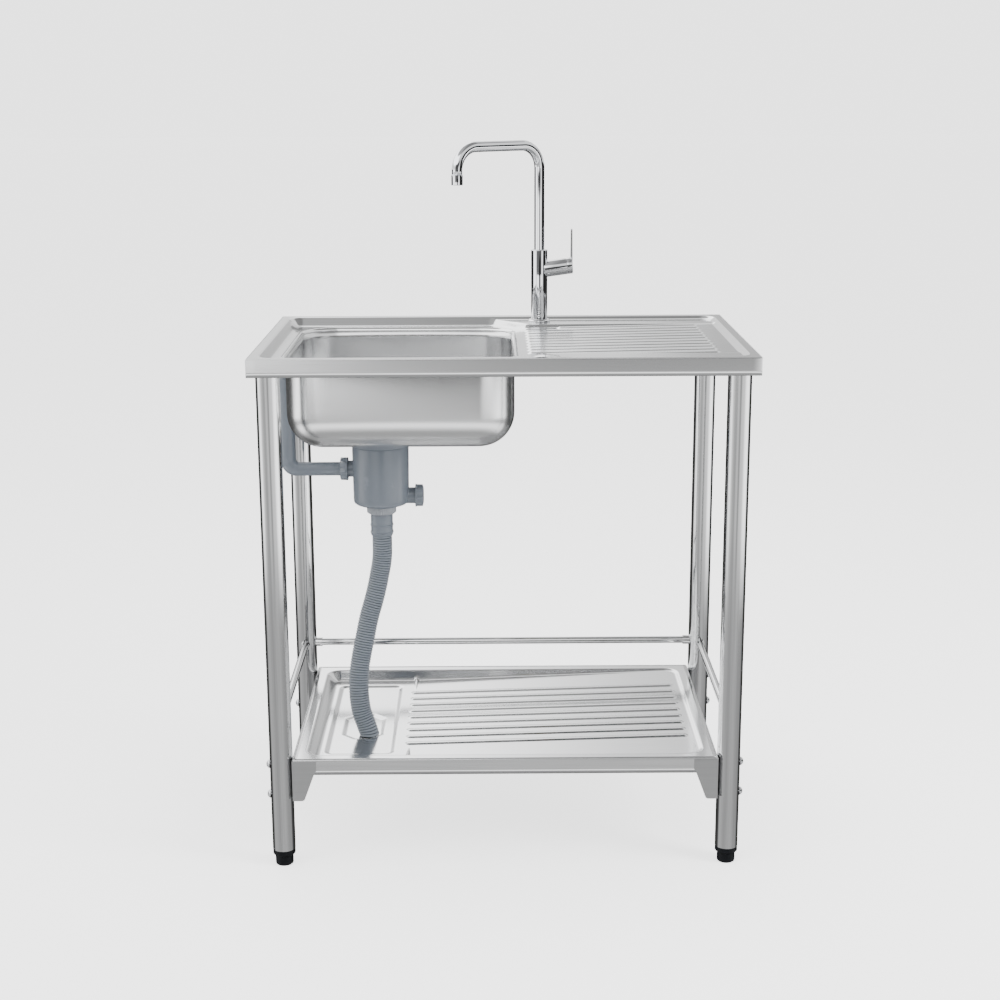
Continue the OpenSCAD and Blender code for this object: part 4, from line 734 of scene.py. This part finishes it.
# Sizes in mm, from the middle of the unit's foot. "ribs" counts those on each side of the
# middle one, and "soft" is the fillet at the foot of the walls, in press radii.
TOP = {"z": 860.0, "half_w": 400.0, "half_d": 250.0, "rim": 16.0, "corner": 25.0,
       "apron": 29.0, "flat": 14.0, "ledge": 5.0, "ledge_y": 168.0, "x0": 46.0, "x1": 340.0,
       "low": 11.5, "high": 6.5, "outer_x0": 104.0, "bowl_x": -167.0, "lip": 5.0,
       "ribs": 5, "soft": 1.6}
RIB = {"pitch": 31.0, "half_w": 7.0, "high": 2.5, "fillet": 0.9}
BOWL = {"half_w": 185.0, "half_d": 190.0, "corner": 60.0, "floor_r": 56.0, "floor": 698.0,
        "seam": 841.0, "drain_x": -210.0, "seat_r": 59.0, "seat": 5.0, "hole_r": 43.0,
        "belly": 3.5}
TRAY = {"z": 191.0, "half_w": 350.7, "half_d": 231.0, "rim": 21.0, "corner": 25.0,
        "apron": 26.5, "flat": 15.5, "high": 3.0, "x0": -172.0, "x1": 306.0, "lean": 1.0,
        "panel_x": -246.0, "panel_w": 59.0, "panel_d": 168.0, "panel": 3.0,
        "panel_r": 14.0, "panel_slope": 0.42, "recess_w": 36.0, "recess_d": 60.0,
        "recess_y": -33.0, "recess": 2.5, "recess_slope": 2.4, "chamfer": 0.3,
        "ribs": 4, "soft": 1.2}
# The short beads where the tray's ribbed ramp begins: they narrow from the wall inwards
BEAD = {"long": 49.6, "wide": 4.67, "tip": 1.25, "in": 9.0}


def top_height(x, y):
    """The sunk field of the sink top: sloping drainer, two tap ledges, ribs, leaning walls."""
    p, k = TOP, bpy.context.scene.sink_sheet.blend / MM
    start = p["bowl_x"] + BOWL["half_w"] + 1.5 * p["lip"]
    rise = (p["high"] - p["low"]) / (p["x1"] - p["x0"])
    ramp = np.interp(x, [start, p["x0"]], [-p["flat"], -p["low"]])
    ramp = np.where(x > p["x0"], -p["low"] - rise * (x - p["x0"]), ramp)
    over_y = np.abs(y) - p["ledge_y"]
    slant = ((x - p["x0"]) + over_y) / math.sqrt(2)
    ledge = -p["ledge"] + soft_min(soft_min(over_y, slant, k), 0, k)
    floor = soft_max(ramp, ledge, k)
    for i in range(-p["ribs"], p["ribs"] + 1):
        y0 = i * RIB["pitch"]
        x0 = p["outer_x0"] if abs(i) == p["ribs"] else p["x0"]
        ribbed = ramp + crest(x, y, x0, p["x1"], y0, RIB["half_w"], RIB["high"])
        floor = soft_max(floor, ribbed, RIB["fillet"])
    d = round_rect(x, y, p["half_w"] - p["rim"], p["half_d"] - p["rim"], p["corner"])
    wall = soft_min(d, 0, k)
    return p["z"] + np.maximum(soft_max(floor, wall, k * p["soft"]), -p["flat"] - 0.01)


def tray_height(x, y):
    """The shelf's tray: flat end with a sunk panel and an eight-sided recess, ribbed ramp."""
    p, k = TRAY, bpy.context.scene.sink_sheet.blend / MM
    rise = (p["high"] - p["flat"]) / (p["x1"] - p["x0"])
    ramp = soft_max(-p["flat"] - rise * (x - p["x0"]), np.full_like(x, -p["flat"]), 0.8)
    panel = round_rect(x - p["panel_x"], y, p["panel_w"], p["panel_d"], p["panel_r"])
    floor = ramp + soft_max(soft_min(panel * p["panel_slope"], 0, 0.7), -p["panel"], 0.7)
    u, v = np.abs(x - p["panel_x"]), np.abs(y - p["recess_y"])
    chamfer = p["chamfer"] * 2 * p["recess_w"]
    eight = np.maximum(np.maximum(u - p["recess_w"], v - p["recess_d"]),
                       (u + v - p["recess_w"] - p["recess_d"] + chamfer) / math.sqrt(2))
    floor = floor + soft_max(soft_min(eight / p["recess_slope"], 0, 0.6), -p["recess"], 0.6)
    for i in range(-p["ribs"], p["ribs"] + 1):
        ribbed = ramp + crest(x, y, p["x0"] + RIB["half_w"] + 2, p["x1"],
                              i * RIB["pitch"], RIB["half_w"], RIB["high"])
        floor = soft_max(floor, ribbed, RIB["fillet"])
    foot = p["half_d"] - p["rim"] - p["flat"] * p["lean"]
    t = np.clip((foot - np.abs(y)) / BEAD["long"], 0, 1)
    wide = BEAD["wide"] + (BEAD["tip"] - BEAD["wide"]) * t
    away = x - p["x0"] - BEAD["in"]
    bead = ramp - BEAD["tip"] + np.sqrt(np.maximum(wide ** 2 - away ** 2, 0)) \
        - np.maximum(np.abs(away) - wide, 0) - 8 * np.maximum(t - 0.999, 0)
    bead = np.where(np.abs(y) < foot - BEAD["long"], -99.0, bead)
    floor = soft_max(floor, bead, RIB["fillet"])
    d = round_rect(x, y, p["half_w"] - p["rim"], p["half_d"] - p["rim"], p["corner"])
    wall = soft_min(d / p["lean"], 0, k)
    return p["z"] + soft_max(floor, wall, k * p["soft"])


class SINK_OT_top(bpy.types.Operator):
    """Pressed sink top with its drainer, ledges and rolled bowl edge"""
    bl_idname = "sink.top"
    bl_label = "Sink top"

    def execute(self, context):
        # Marks are the places that need close grid lines: (from, to, spacing there)
        p = TOP
        rim_x, rim_y = p["half_w"] - p["rim"], p["half_d"] - p["rim"]
        hole = (p["bowl_x"], BOWL["half_w"] + p["lip"], BOWL["half_d"] + p["lip"],
                BOWL["corner"] + p["lip"])
        left, right = hole[0] - hole[1], hole[0] + hole[1]
        marks_x = [*mirrored(rim_x, 0.6), *mirrored(p["half_w"], 0.9),
                   (-rim_x, -rim_x + 30, 2.4), (rim_x - 36, rim_x, 2.2),
                   (left - 4, left + 66, 2.6), (right - 66, right + 8, 2.4), (-22, 60, 1.7),
                   (p["x1"] - 2, p["x1"] + 8, 1.2), (p["x0"] - 8, p["x0"] + 4, 1.2),
                   (p["outer_x0"] - 8, p["outer_x0"] + 4, 1.3),
                   (-rim_x + 13, -rim_x + 16, 0.8), (rim_x - 10, rim_x - 5, 0.8)]
        marks_y = [*mirrored(rim_y, 0.8), *mirrored(p["half_d"], 0.9),
                   *mirrored(p["ledge_y"] - 3.5, 1.0, 4), (-166, 166, 1.9),
                   (rim_y - 30, rim_y, 2.4), (-rim_y, -rim_y + 30, 2.4)]
        pressed_sheet("sink_top_skin", FINISH["deck"], p, marks_x, marks_y,
                      top_height, hole, p["lip"])
        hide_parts("sink_top")
        return {"FINISHED"}


class SINK_OT_shelf(bpy.types.Operator):
    """Pressed undershelf"""
    bl_idname = "sink.shelf"
    bl_label = "Undershelf"

    def execute(self, context):
        p = TRAY
        rim_x, rim_y = p["half_w"] - p["rim"], p["half_d"] - p["rim"]
        px, pw = p["panel_x"], p["panel_w"]
        marks_x = [*mirrored(rim_x, 0.7), (-rim_x, -rim_x + 28, 2.2),
                   (rim_x - 28, rim_x, 2.2), (px - pw - 2, px - pw + 10, 1.1),
                   (px + pw - 10, px + pw + 2, 1.1),
                   (px - p["recess_w"] - 2, px + p["recess_w"] + 2, 1.8),
                   (p["x0"] - 2, p["x0"] + 16, 1.0), (p["x1"] - 2, p["x1"] + 8, 1.2)]
        marks_y = [*mirrored(rim_y, 0.7), *mirrored(p["panel_d"] - 4, 1.1, 6),
                   (-146, 136, 2.0), (rim_y - 30, rim_y, 2.2), (-rim_y, -rim_y + 30, 2.2)]
        pressed_sheet("shelf_skin", FINISH["shelf"], p, marks_x, marks_y,
                      tray_height)
        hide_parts("shelf")
        return {"FINISHED"}


class SINK_OT_bowl(bpy.types.Operator):
    """Drawn bowl with its waste seat"""
    bl_idname = "sink.bowl"
    bl_label = "Bowl"

    def execute(self, context):
        # A ring of the bowl is A + u D: A runs round the corner axes, D faces outwards
        b, n = BOWL, 24
        w, d = b["half_w"] - b["corner"], b["half_d"] - b["corner"]
        axes, faces = [], []
        for k, (sx, sy) in enumerate(((1, -1), (1, 1), (-1, 1), (-1, -1))):
            turn = np.linspace(k - 1, k, n + 1)[:-1] * math.pi / 2
            axes.append(np.repeat([[sx * w, sy * d]], n, 0))
            faces.append(np.stack([np.cos(turn), np.sin(turn)], -1))
            nx, ny = ((1, 1), (-1, 1), (-1, -1), (1, -1))[k]
            t = np.linspace(0, 1, n + 1)[:-1, None]
            axes.append(np.array([sx * w, sy * d]) * (1 - t) + np.array([nx * w, ny * d]) * t)
            faces.append(np.repeat([[math.cos(k * math.pi / 2), math.sin(k * math.pi / 2)]],
                                   n, 0))
        a, f = np.concatenate(axes), np.concatenate(faces)
        x0 = TOP["bowl_x"]
        turn = np.linspace(0, math.pi / 2, 15)
        r = b["floor_r"]
        rows = [(b["corner"], z) for z in np.linspace(b["seam"], b["floor"] + r, 8)]
        rows += [(b["corner"] - r + r * math.cos(t), b["floor"] + r - r * math.sin(t))
                 for t in turn[1:]]
        rings = [np.concatenate([a + u * f, np.full((len(a), 1), z)], 1) for u, z in rows]
        last = rings[-1][:, :2]
        centre = np.array([b["drain_x"] - x0, 0.0])
        spoke = last - centre
        spoke /= np.linalg.norm(spoke, axis=1)[:, None]
        mouth = centre + spoke * (b["seat_r"] + b["seat"] + 2)
        rings += [np.concatenate([last * (1 - t) + mouth * t,
                                  np.full((len(a), 1), b["floor"])], 1)
                  for t in np.linspace(0, 1, 9)[1:]]
        for rr, z in ((b["seat_r"] + 4.4, 697.5), (b["seat_r"] + 2.4, 696.0),
                      (b["seat_r"] + 0.8, 694.3), (b["seat_r"] - 0.9, 693.3),
                      (b["seat_r"] - 3, 693.0), (b["hole_r"] + 8, 692.95),
                      (b["hole_r"] + 0.8, 692.9), (b["hole_r"], 692.0)):
            rings.append(np.concatenate([centre + spoke * rr, np.full((len(a), 1), z)], 1))
        v = np.stack(rings)
        # The long walls belly out a little between the corners
        deep = np.clip((b["seam"] - v[..., 2]) / (b["seam"] - b["floor"]), 0, 1)
        v[..., 1] += (b["belly"] * np.clip(1 - (v[..., 0] / b["half_w"]) ** 2, 0, 1)
                      * np.sin(math.pi * deep ** 0.7) * v[..., 1] / b["half_d"])
        v[..., 0] += x0
        ob = surface("bowl_skin", "frame", FINISH["bowl"],
                     v.reshape(-1, 3) * MM, grid_quads(len(v), len(a), wrap=True)[:, ::-1])
        # The sheet's second side takes the darker copy: painted shade inside the bowl
        ob.data.materials.append(FINISH["inside"])
        thicken(ob).material_offset = 1
        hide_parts("bowl")
        return {"FINISHED"}


# Turned and lofted pieces

# An arc takes at most this share of a profile's end edges, and of those between two arcs
END_SHARE, MID_SHARE = 0.98, 0.48


def fillet(points, radius, steps=4):
    """A profile with each inner corner rounded by an arc of the given radius."""
    p = np.asarray(points, float)
    out = [p[0]]
    last = len(p) - 3
    for i, (a, b, c) in enumerate(zip(p[:-2], p[1:-1], p[2:])):
        u, v = a - b, c - b
        lu, lv = np.linalg.norm(u), np.linalg.norm(v)
        if lu < 1e-9 or lv < 1e-9:
            out.append(b)
            continue
        u, v = u / lu, v / lv
        half = math.acos(float(np.clip(u @ v, -1, 1))) / 2
        if half > math.pi / 2 - 0.02:
            out.append(b)
            continue
        run = min(radius / math.tan(half), lu * (END_SHARE if i == 0 else MID_SHARE),
                  lv * (END_SHARE if i == last else MID_SHARE))
        r = run * math.tan(half)
        mid = u + v
        centre = b + mid / np.linalg.norm(mid) * r / math.sin(half)
        s, e = b + u * run - centre, b + v * run - centre
        for t in np.linspace(0, 1, steps + 1):
            w = s * (1 - t) + e * t
            out.append(centre + w / np.linalg.norm(w) * r)
    out.append(p[-1])
    return np.array(out)


def placed(v, origin, axis, spin):
    """Points turned so that +Z runs along axis, and moved to origin."""
    c, s = math.cos(spin), math.sin(spin)
    v = v @ np.array([[c, s, 0], [-s, c, 0], [0, 0, 1]])
    return v @ rotation_to(axis).T + np.asarray(origin, float)


def lathe(name, body, slot, material, profile, origin, axis=(0, 0, 1), edge=0.6, around=64,
          flutes=None, nodes=(), spin=0.0):
    """A turned piece in mm: profile of (radius, height), corners rounded by edge. flutes is
    (count, depth, from, to, sharpness): there the radius gains depth * cos^sharpness."""
    p = fillet(profile, edge)
    v = turned(p, around)
    if flutes:
        n, depth, lo, hi, sharp = flutes
        a = np.linspace(0, 2 * math.pi, around, endpoint=False)
        wave = depth * (0.5 + 0.5 * np.cos(n * a)) ** sharp
        rows = (p[:, 1] > lo) & (p[:, 1] < hi) & (p[:, 0] > 0.6 * p[:, 0].max())
        unit = np.stack([np.cos(a), np.sin(a)], -1)
        v[rows, :, :2] += wave[None, :, None] * unit[None]
    v = placed(v.reshape(-1, 3), origin, axis, spin) * MM
    ob = surface(name, body, material, v, grid_quads(len(p), around, wrap=True))
    weld(ob.data, WELD)
    outward(ob.data)
    if nodes:
        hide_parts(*nodes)
    return ob


def outward(me):
    """Turns the faces of closed shells outwards."""
    b = bmesh.new()
    b.from_mesh(me)
    bmesh.ops.recalc_face_normals(b, faces=b.faces)
    b.to_mesh(me)
    b.free()


def pipe(name, body, material, path, tangents, radius, bore, around, nodes=()):
    """A pipe of even bore along a path, in mm; radius may change along it."""
    outer, inner = (swept_rings(path, tangents, np.broadcast_to(r, (len(path),)), around)
                    for r in (radius, bore))
    v, q = close_rings(np.concatenate([outer, inner[::-1]]))
    ob = surface(name, body, material, v * MM, q)
    outward(ob.data)
    if nodes:
        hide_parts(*nodes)
    return ob


def bent_path(points, bend, run=16.0):
    """Straight runs between points, in pieces of about a run's length, joined by arcs of
    radius bend; returns points and unit tangents."""
    path = fillet(points, bend, 20)
    keep = np.concatenate([[True], np.linalg.norm(np.diff(path, axis=0), axis=1) > 1e-6])
    path = path[keep]
    out = [path[:1]]
    for a, b in zip(path[:-1], path[1:]):
        n = max(1, int(np.linalg.norm(b - a) / run))
        out.append(a + (b - a) * np.linspace(0, 1, n + 1)[1:, None])
    path = np.concatenate(out)
    d = np.diff(path, axis=0)
    d /= np.linalg.norm(d, axis=1)[:, None]
    tan = np.concatenate([d[:1], d[:-1] + d[1:], d[-1:]])
    return path, tan / np.linalg.norm(tan, axis=1)[:, None]


# Tap, in mm from the middle of its foot on the ledge

TAP = {"x": 67.5, "y": 200.0, "z": 855.0, "ring_r": 19.5, "ring_h": 5.0, "r": 14.5,
       "top": 129.0, "spout_r": 9.0, "spout_wall": 1.2, "high": 321.0, "reach": 182.0,
       "bend": 40.0, "turn": 38.0, "mouth": 249.0, "aerator_r": 10.0, "aerator": 17.0,
       "barrel_r": 14.3, "barrel_z": 93.0, "barrel": 49.0, "tilt": 7.0, "back": 5.0,
       "hub": 9.3, "gap": 0.8, "pivot": 12.0, "blade": 65.0, "blade_t": 2.8, "root": 15.0,
       "tip": 11.0, "inner_r": 13.7, "valve_r": 10.6, "dome_r": 10.4, "seat": 14.0,
       "play": 0.35}


def tap_point(u, z):
    """A point of the spout's plane, u out along its arm and z above the ledge."""
    a = math.radians(180 + TAP["turn"])
    return (TAP["x"] + u * math.cos(a), TAP["y"] + u * math.sin(a), TAP["z"] + z)


def barrel_axis():
    """Unit direction of the valve barrel."""
    t, b = math.radians(TAP["tilt"]), math.radians(TAP["back"])
    return np.array([math.cos(t) * math.cos(b), math.cos(t) * math.sin(b), math.sin(t)])


class SINK_OT_tap(bpy.types.Operator):
    """Side-lever tap: ring, body with barrel, swivel spout, aerator, hub and blade"""
    bl_idname = "sink.tap"
    bl_label = "Tap"

    def execute(self, context):
        def chrome(name, body, *shape, **more):
            return lathe(name, body, "chrome", FINISH["chrome"], *shape, **more)

        p = TAP
        foot = (p["x"], p["y"], p["z"])
        inner_r, ring_r, ring_h, top = p["inner_r"], p["ring_r"], p["ring_h"], p["top"]
        chrome("tap_foot_ring", "frame",
               [(inner_r, 0), (ring_r, 0), (ring_r, ring_h * 0.62), (ring_r - 1.4, ring_h),
                (inner_r, ring_h), (inner_r, 0)], foot, edge=0.7, around=96,
               nodes=["tap_ring"])
        seat_r, seat = p["spout_r"] + p["play"], top - p["seat"]
        body = chrome("tap_body_skin", "frame",
                      [(inner_r, ring_h), (p["r"], ring_h), (p["r"], top), (seat_r, top),
                       (seat_r, seat), (0, seat)], foot, edge=0.9, around=128)
        # Barrel, dome and hub are turned about the valve's axis
        axis, origin = barrel_axis(), np.array(foot) + (0, 0, p["barrel_z"])
        barrel_r, end = p["barrel_r"], p["barrel"]
        chrome("tap_barrel", "frame",
               [(0, 8), (barrel_r, 8), (barrel_r, end), (p["valve_r"], end),
                (p["valve_r"], end - 6), (0, end - 6)], origin, axis, edge=0.35, around=128)
        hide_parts("tap_body")
        pivot = end - p["pivot"]
        ball = math.hypot(p["pivot"], barrel_r)
        polar = np.linspace(math.asin(p["dome_r"] / ball),
                            math.asin((barrel_r - 0.5) / ball), 9)
        dome = [(ball * math.sin(a), pivot + ball * math.cos(a)) for a in polar]
        chrome("tap_dome", "frame",
               [(p["dome_r"], end - 5), (p["dome_r"], dome[0][1])] + dome
               + [(barrel_r - 0.5, end - 5), (p["dome_r"], end - 5)], origin, axis,
               edge=0.05, around=96, nodes=["cartridge_dome"])
        # The hub is hollowed to a ball a little larger than the dome's
        hub0 = end + p["gap"]
        hub1 = hub0 + p["hub"]
        hollow = ball + 0.4
        polar = np.linspace(0, math.asin((barrel_r - 0.25) / hollow), 12)
        cup = [(hollow * math.sin(a), pivot + hollow * math.cos(a)) for a in polar]
        cup = [c for c in cup if c[1] > hub0 + 0.02]
        chrome("lever_hub_skin", "lever",
               cup + [(barrel_r - 0.2, hub0), (barrel_r, hub0), (barrel_r, hub1), (0, hub1)],
               origin, axis, edge=0.9, around=128, nodes=["lever_hub"])
        self.blade(origin, axis, hub1 - 2.0)
        arm, reach = p["high"] - p["spout_r"], p["reach"]
        path, tan = bent_path([tap_point(0, 102), tap_point(0, arm), tap_point(reach, arm),
                               tap_point(reach, p["mouth"] + p["aerator"])], p["bend"])
        pipe("spout_tube", "spout", FINISH["chrome"], path, tan, p["spout_r"],
             p["spout_r"] - p["spout_wall"], 64, ["spout"])
        h, r, bore = p["aerator"], p["aerator_r"], 7.8
        chrome("aerator_shell", "spout",
               [(bore, 0), (r - 0.5, 0), (r - 0.2, 0.5), (r - 0.2, h), (r - 0.9, h + 0.2),
                (bore, h), (bore, 0)], tap_point(reach, p["mouth"]), edge=0.2, around=96,
               nodes=["aerator"])
        return {"FINISHED"}

    @staticmethod
    def blade(origin, axis, at):
        """The lever blade: rings of a rounded bar, |x/a|^5 + |y/b|^5 = 1, up its height."""
        p = TAP
        # Heights of the rings above the hub's end, and their shares of the full section
        h = np.concatenate([[-5, -5, -4.8, -4.3], np.linspace(-3, p["blade"] - 2, 22),
                            [p["blade"] - 1.0, p["blade"] - 0.35, p["blade"], p["blade"]]])
        keep = np.concatenate([[0, 0.86, 0.95, 0.99], np.ones(22), [0.96, 0.88, 0.74, 0]])
        share = np.clip((h + 5) / (p["blade"] + 5), 0, 1)
        half_w = (p["root"] * (1 - share) + p["tip"] * share) / 2 * keep
        half_t = p["blade_t"] / 2 * np.where(keep > 0, np.minimum(1, keep * 1.15), 0) \
            * (1 - 0.25 * share)
        around, power = 48, 5
        a = np.linspace(0, 2 * math.pi, around, endpoint=False)
        c, s = np.cos(a), np.sin(a)
        ring = (np.abs(c) ** power + np.abs(s) ** power) ** (-1 / power)
        b = math.radians(p["back"])
        out = np.array([math.cos(b), math.sin(b), 0])
        wide = np.array([-math.sin(b), math.cos(b), 0])
        base = np.asarray(origin) + axis * at + out * p["blade_t"] / 2
        v = (base + np.array([0, 0, 1.0]) * h[:, None, None]
             + wide * (half_w[:, None] * (ring * c))[..., None]
             + out * (half_t[:, None] * (ring * s))[..., None])
        ob = surface("lever_blade_skin", "lever", FINISH["chrome"],
                     v.reshape(-1, 3) * MM, grid_quads(len(h), around, wrap=True))
        weld(ob.data, WELD)
        outward(ob.data)
        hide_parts("lever_blade")


# Waste kit, in mm

WASTE = {"pot_top": 672.0, "pot_low": 570.0, "left_z": 630.5, "right_z": 583.0,
         "nut_x": -266.0, "cap_x": -151.3, "pipe_x": -368.4, "pipe_top": 785.0,
         "pipe_end": -262.0, "bend": 17.5, "pipe_r": 13.4, "neck_r": 11.75, "neck": 100.0,
         "taper": 12.0, "wall": 2.4}


class SINK_OT_waste(bpy.types.Operator):
    """Plastic pot, nuts, cap, cuff and overflow pipe"""
    bl_idname = "sink.waste"
    bl_label = "Waste kit"

    def execute(self, context):
        def grey(name, *shape, **more):
            return lathe(name, "frame", "grey_plastic", FINISH["plastic"], *shape, **more)

        p, x, top, low = WASTE, BOWL["drain_x"], WASTE["pot_top"], WASTE["pot_low"]
        at, left, right = (x, 0, 0), (-1, 0, 0), (1, 0, 0)
        grey("pot_body", [
            (43.6, 688.1), (46, 688.1), (46, top), (48.6, top), (47.6, low + 9),
            (47.0, low + 3), (43.0, low), (30, low - 1.4), (21, low - 2.2), (21, 557.6),
            (14.5, 557.6), (14.5, low + 2), (44.5, low + 3.4), (45.4, low + 9), (46, 668),
            (43.6, 669.6), (43.6, 688.1)], at, edge=2.0, around=128)
        grey("pot_branch_left", [(11.85, 44), (14, 44), (14, 60), (11.85, 60), (11.85, 44)],
             (x, 0, p["left_z"]), left, edge=0.3)
        grey("pot_branch_right", [(11.6, 42), (14, 42), (14, 69), (11.6, 69), (11.6, 42)],
             (x, 0, p["right_z"]), right, edge=0.3)
        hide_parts("drain_pot")
        grey("pot_collar_ring", [(46.1, top + 0.1), (49.8, top + 0.1), (49.8, 688.4),
                                 (46.1, 688.4), (46.1, top + 0.1)], at, edge=1.0, around=128,
             flutes=(4, 1.6, top + 2.5, 686, 260), spin=math.radians(-72),
             nodes=["pot_collar"])
        grey("branch_nut", [(11.9, 13), (18.0, 13), (18.2, 2.4), (19.9, 2.2), (19.9, 0),
                            (14.1, 0), (14.1, 7), (11.9, 7), (11.9, 13)],
             (p["nut_x"], 0, p["left_z"]), left, edge=0.7, around=160,
             flutes=(8, 1.9, 2.6, 12.4, 3), nodes=["overflow_nut"])
        grey("branch_cap_skin", [(0, 14.3), (13, 14.3), (17.4, 13.2), (17.6, 2.4),
                                 (19.9, 2.2), (19.9, 0), (14.1, 0), (14.1, 9.5), (0, 9.5)],
             (p["cap_x"], 0, p["right_z"]), right, edge=1.0, around=160,
             flutes=(8, 1.9, 2.6, 12.8, 3), nodes=["branch_cap"])
        lathe("outlet_nut_skin", "frame", "light_plastic", FINISH["light"],
              [(19.1, 552.5), (22.6, 552.5), (24.7, 554.6), (24.7, 565.4), (21.1, 565.4),
               (21.1, 554.9), (19.1, 554.9), (19.1, 552.5)], at, edge=0.5, around=240,
              flutes=(40, 0.6, 554, 565.2, 1), nodes=["outlet_nut"])
        grey("hose_cuff_skin", [
            (14.5, 513.5), (18.4, 513.5), (19, 514.3), (19, 517.4), (20.2, 517.8),
            (20.2, 519.6), (19, 520.0), (19, 530.3), (20.2, 530.7), (20.2, 532.4),
            (19, 532.8), (19, 555), (21, 555), (21, 557.5), (14.5, 557.5), (14.5, 513.5)],
             at, edge=0.4, around=96, nodes=["hose_cuff"])
        path, tan = bent_path([(p["pipe_x"], 0, p["pipe_top"]), (p["pipe_x"], 0, p["left_z"]),
                               (p["pipe_end"], 0, p["left_z"])], p["bend"])
        # Near its end the pipe narrows to the neck that the nut holds
        run = np.concatenate([[0], np.cumsum(np.linalg.norm(np.diff(path, axis=0), axis=1))])
        share = np.clip((run - run[-1] + p["neck"]) / p["taper"], 0, 1)
        radius = p["pipe_r"] + (p["neck_r"] - p["pipe_r"]) * share
        pipe("overflow_pipe_skin", "frame", FINISH["plastic"], path, tan,
             radius, radius - p["wall"], 64, ["overflow_pipe"])
        return {"FINISHED"}


LEG_X, LEG_Y = 371, 214
CORNERS = (("front_left", -1, -1), ("front_right", 1, -1), ("rear_left", -1, 1),
           ("rear_right", 1, 1))


class SINK_OT_feet(bpy.types.Operator):
    """Black screw feet and leg inserts"""
    bl_idname = "sink.feet"
    bl_label = "Feet"

    def execute(self, context):
        m = FINISH["black"]
        for tag, sx, sy in CORNERS:
            at = (sx * LEG_X, sy * LEG_Y, 0)
            lathe(f"foot_skin_{tag}", f"foot_{tag}", "black_plastic", m,
                  [(0, 0), (13.4, 0), (14.6, 1.2), (15, 3.4), (15, 16.4), (14, 18), (5, 18),
                   (5, 46), (0, 46)], at, edge=0.8, around=96,
                  flutes=(36, -0.35, 4.4, 15.6, 3), nodes=[f"foot_{tag}"])
            lathe(f"leg_plug_{tag}", "frame", "black_plastic", m,
                  [(5.06, 18.3), (17.4, 18.3), (18.7, 19.8), (18.75, 28), (17.4, 28),
                   (17.4, 58), (5.06, 58), (5.06, 18.3)], at, edge=0.8, around=96,
                  nodes=[f"foot_insert_{tag}"])
        return {"FINISHED"}


# Finish of every CAD node; those that no surface above stands for show it

def at_corners(stem):
    """The names of the four nodes of one kind."""
    return [f"{stem}_{tag}" for tag, _, _ in CORNERS]


FINISH_OF = {
    "deck": ["sink_top", *at_corners("leg_socket")],
    "bowl": ["bowl"],
    "shelf": ["shelf"],
    "tube": at_corners("leg"),
    "rail": ["rear_rail", "left_rail", "right_rail", "rail_cups", "waste_flange",
             "strainer_basket", "overflow_rosette", "tap_hole_cover", "lever_stem"],
    "bracket": ["shelf_bracket_left", "shelf_bracket_right"],
    "chrome": ["tap_ring", "tap_body", "spout", "aerator", "cartridge_dome", "lever_hub",
               "lever_blade"],
    "bolt": ["leg_bolts", "leg_nuts"],
    "plastic": ["pot_collar", "drain_pot", "overflow_nut", "overflow_pipe",
                "overflow_head", "branch_cap", "hose_cuff", "drain_hose"],
    "light": ["outlet_nut", "spout_bush", "aerator_insert", "cartridge",
              "cartridge_rotor"],
    "black": [*at_corners("foot_insert"), *at_corners("foot"), "cover_nut"],
    "rubber": ["waste_gasket", "overflow_seal", "overflow_gasket", "tap_washer"],
    "brass": ["tap_shank", "tap_nut"]}


class SINK_OT_finishes(bpy.types.Operator):
    """Finishes, and their place on the CAD's own pieces"""
    bl_idname = "sink.finishes"
    bl_label = "Finishes"

    def execute(self, context):
        make_finishes()
        for name, nodes in FINISH_OF.items():
            for n in nodes:
                me = NODES[n].data
                me.materials.clear()
                me.materials.append(FINISH[name])
        return {"FINISHED"}


class SINK_PT_panel(bpy.types.Panel):
    """Lists the unit's pieces"""
    bl_idname = "SINK_PT_panel"
    bl_label = "Sink unit"
    bl_space_type = "VIEW_3D"
    bl_region_type = "UI"
    bl_category = "Sink unit"

    def draw(self, context):
        for op in OPERATORS:
            self.layout.operator(op.bl_idname)
        for group_name in ("sink_sheet", "sink_waste", "sink_colours"):
            props = getattr(context.scene, group_name)
            for key in props.__annotations__:
                self.layout.prop(props, key)


OPERATORS = (SINK_OT_stage, SINK_OT_finishes, SINK_OT_hose, SINK_OT_top, SINK_OT_bowl,
             SINK_OT_shelf, SINK_OT_tap, SINK_OT_waste, SINK_OT_feet)
SETTINGS = (("sink_sheet", SinkSheet), ("sink_waste", SinkWaste),
            ("sink_colours", SinkColours))


def register():
    for name, cls in SETTINGS:
        bpy.utils.register_class(cls)
        setattr(bpy.types.Scene, name, PointerProperty(type=cls))
    for cls in (*OPERATORS, SINK_PT_panel):
        bpy.utils.register_class(cls)


def unregister():
    for cls in (SINK_PT_panel, *reversed(OPERATORS)):
        bpy.utils.unregister_class(cls)
    for name, cls in reversed(SETTINGS):
        delattr(bpy.types.Scene, name)
        bpy.utils.unregister_class(cls)


def main():
    """Builds the unit."""
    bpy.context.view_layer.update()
    register()
    bpy.ops.sink.stage()
    bpy.ops.sink.finishes()
    bpy.ops.sink.hose()
    bpy.ops.sink.top()
    bpy.ops.sink.bowl()
    bpy.ops.sink.shelf()
    bpy.ops.sink.tap()
    bpy.ops.sink.waste()
    bpy.ops.sink.feet()


if __name__ == "__main__":
    main()
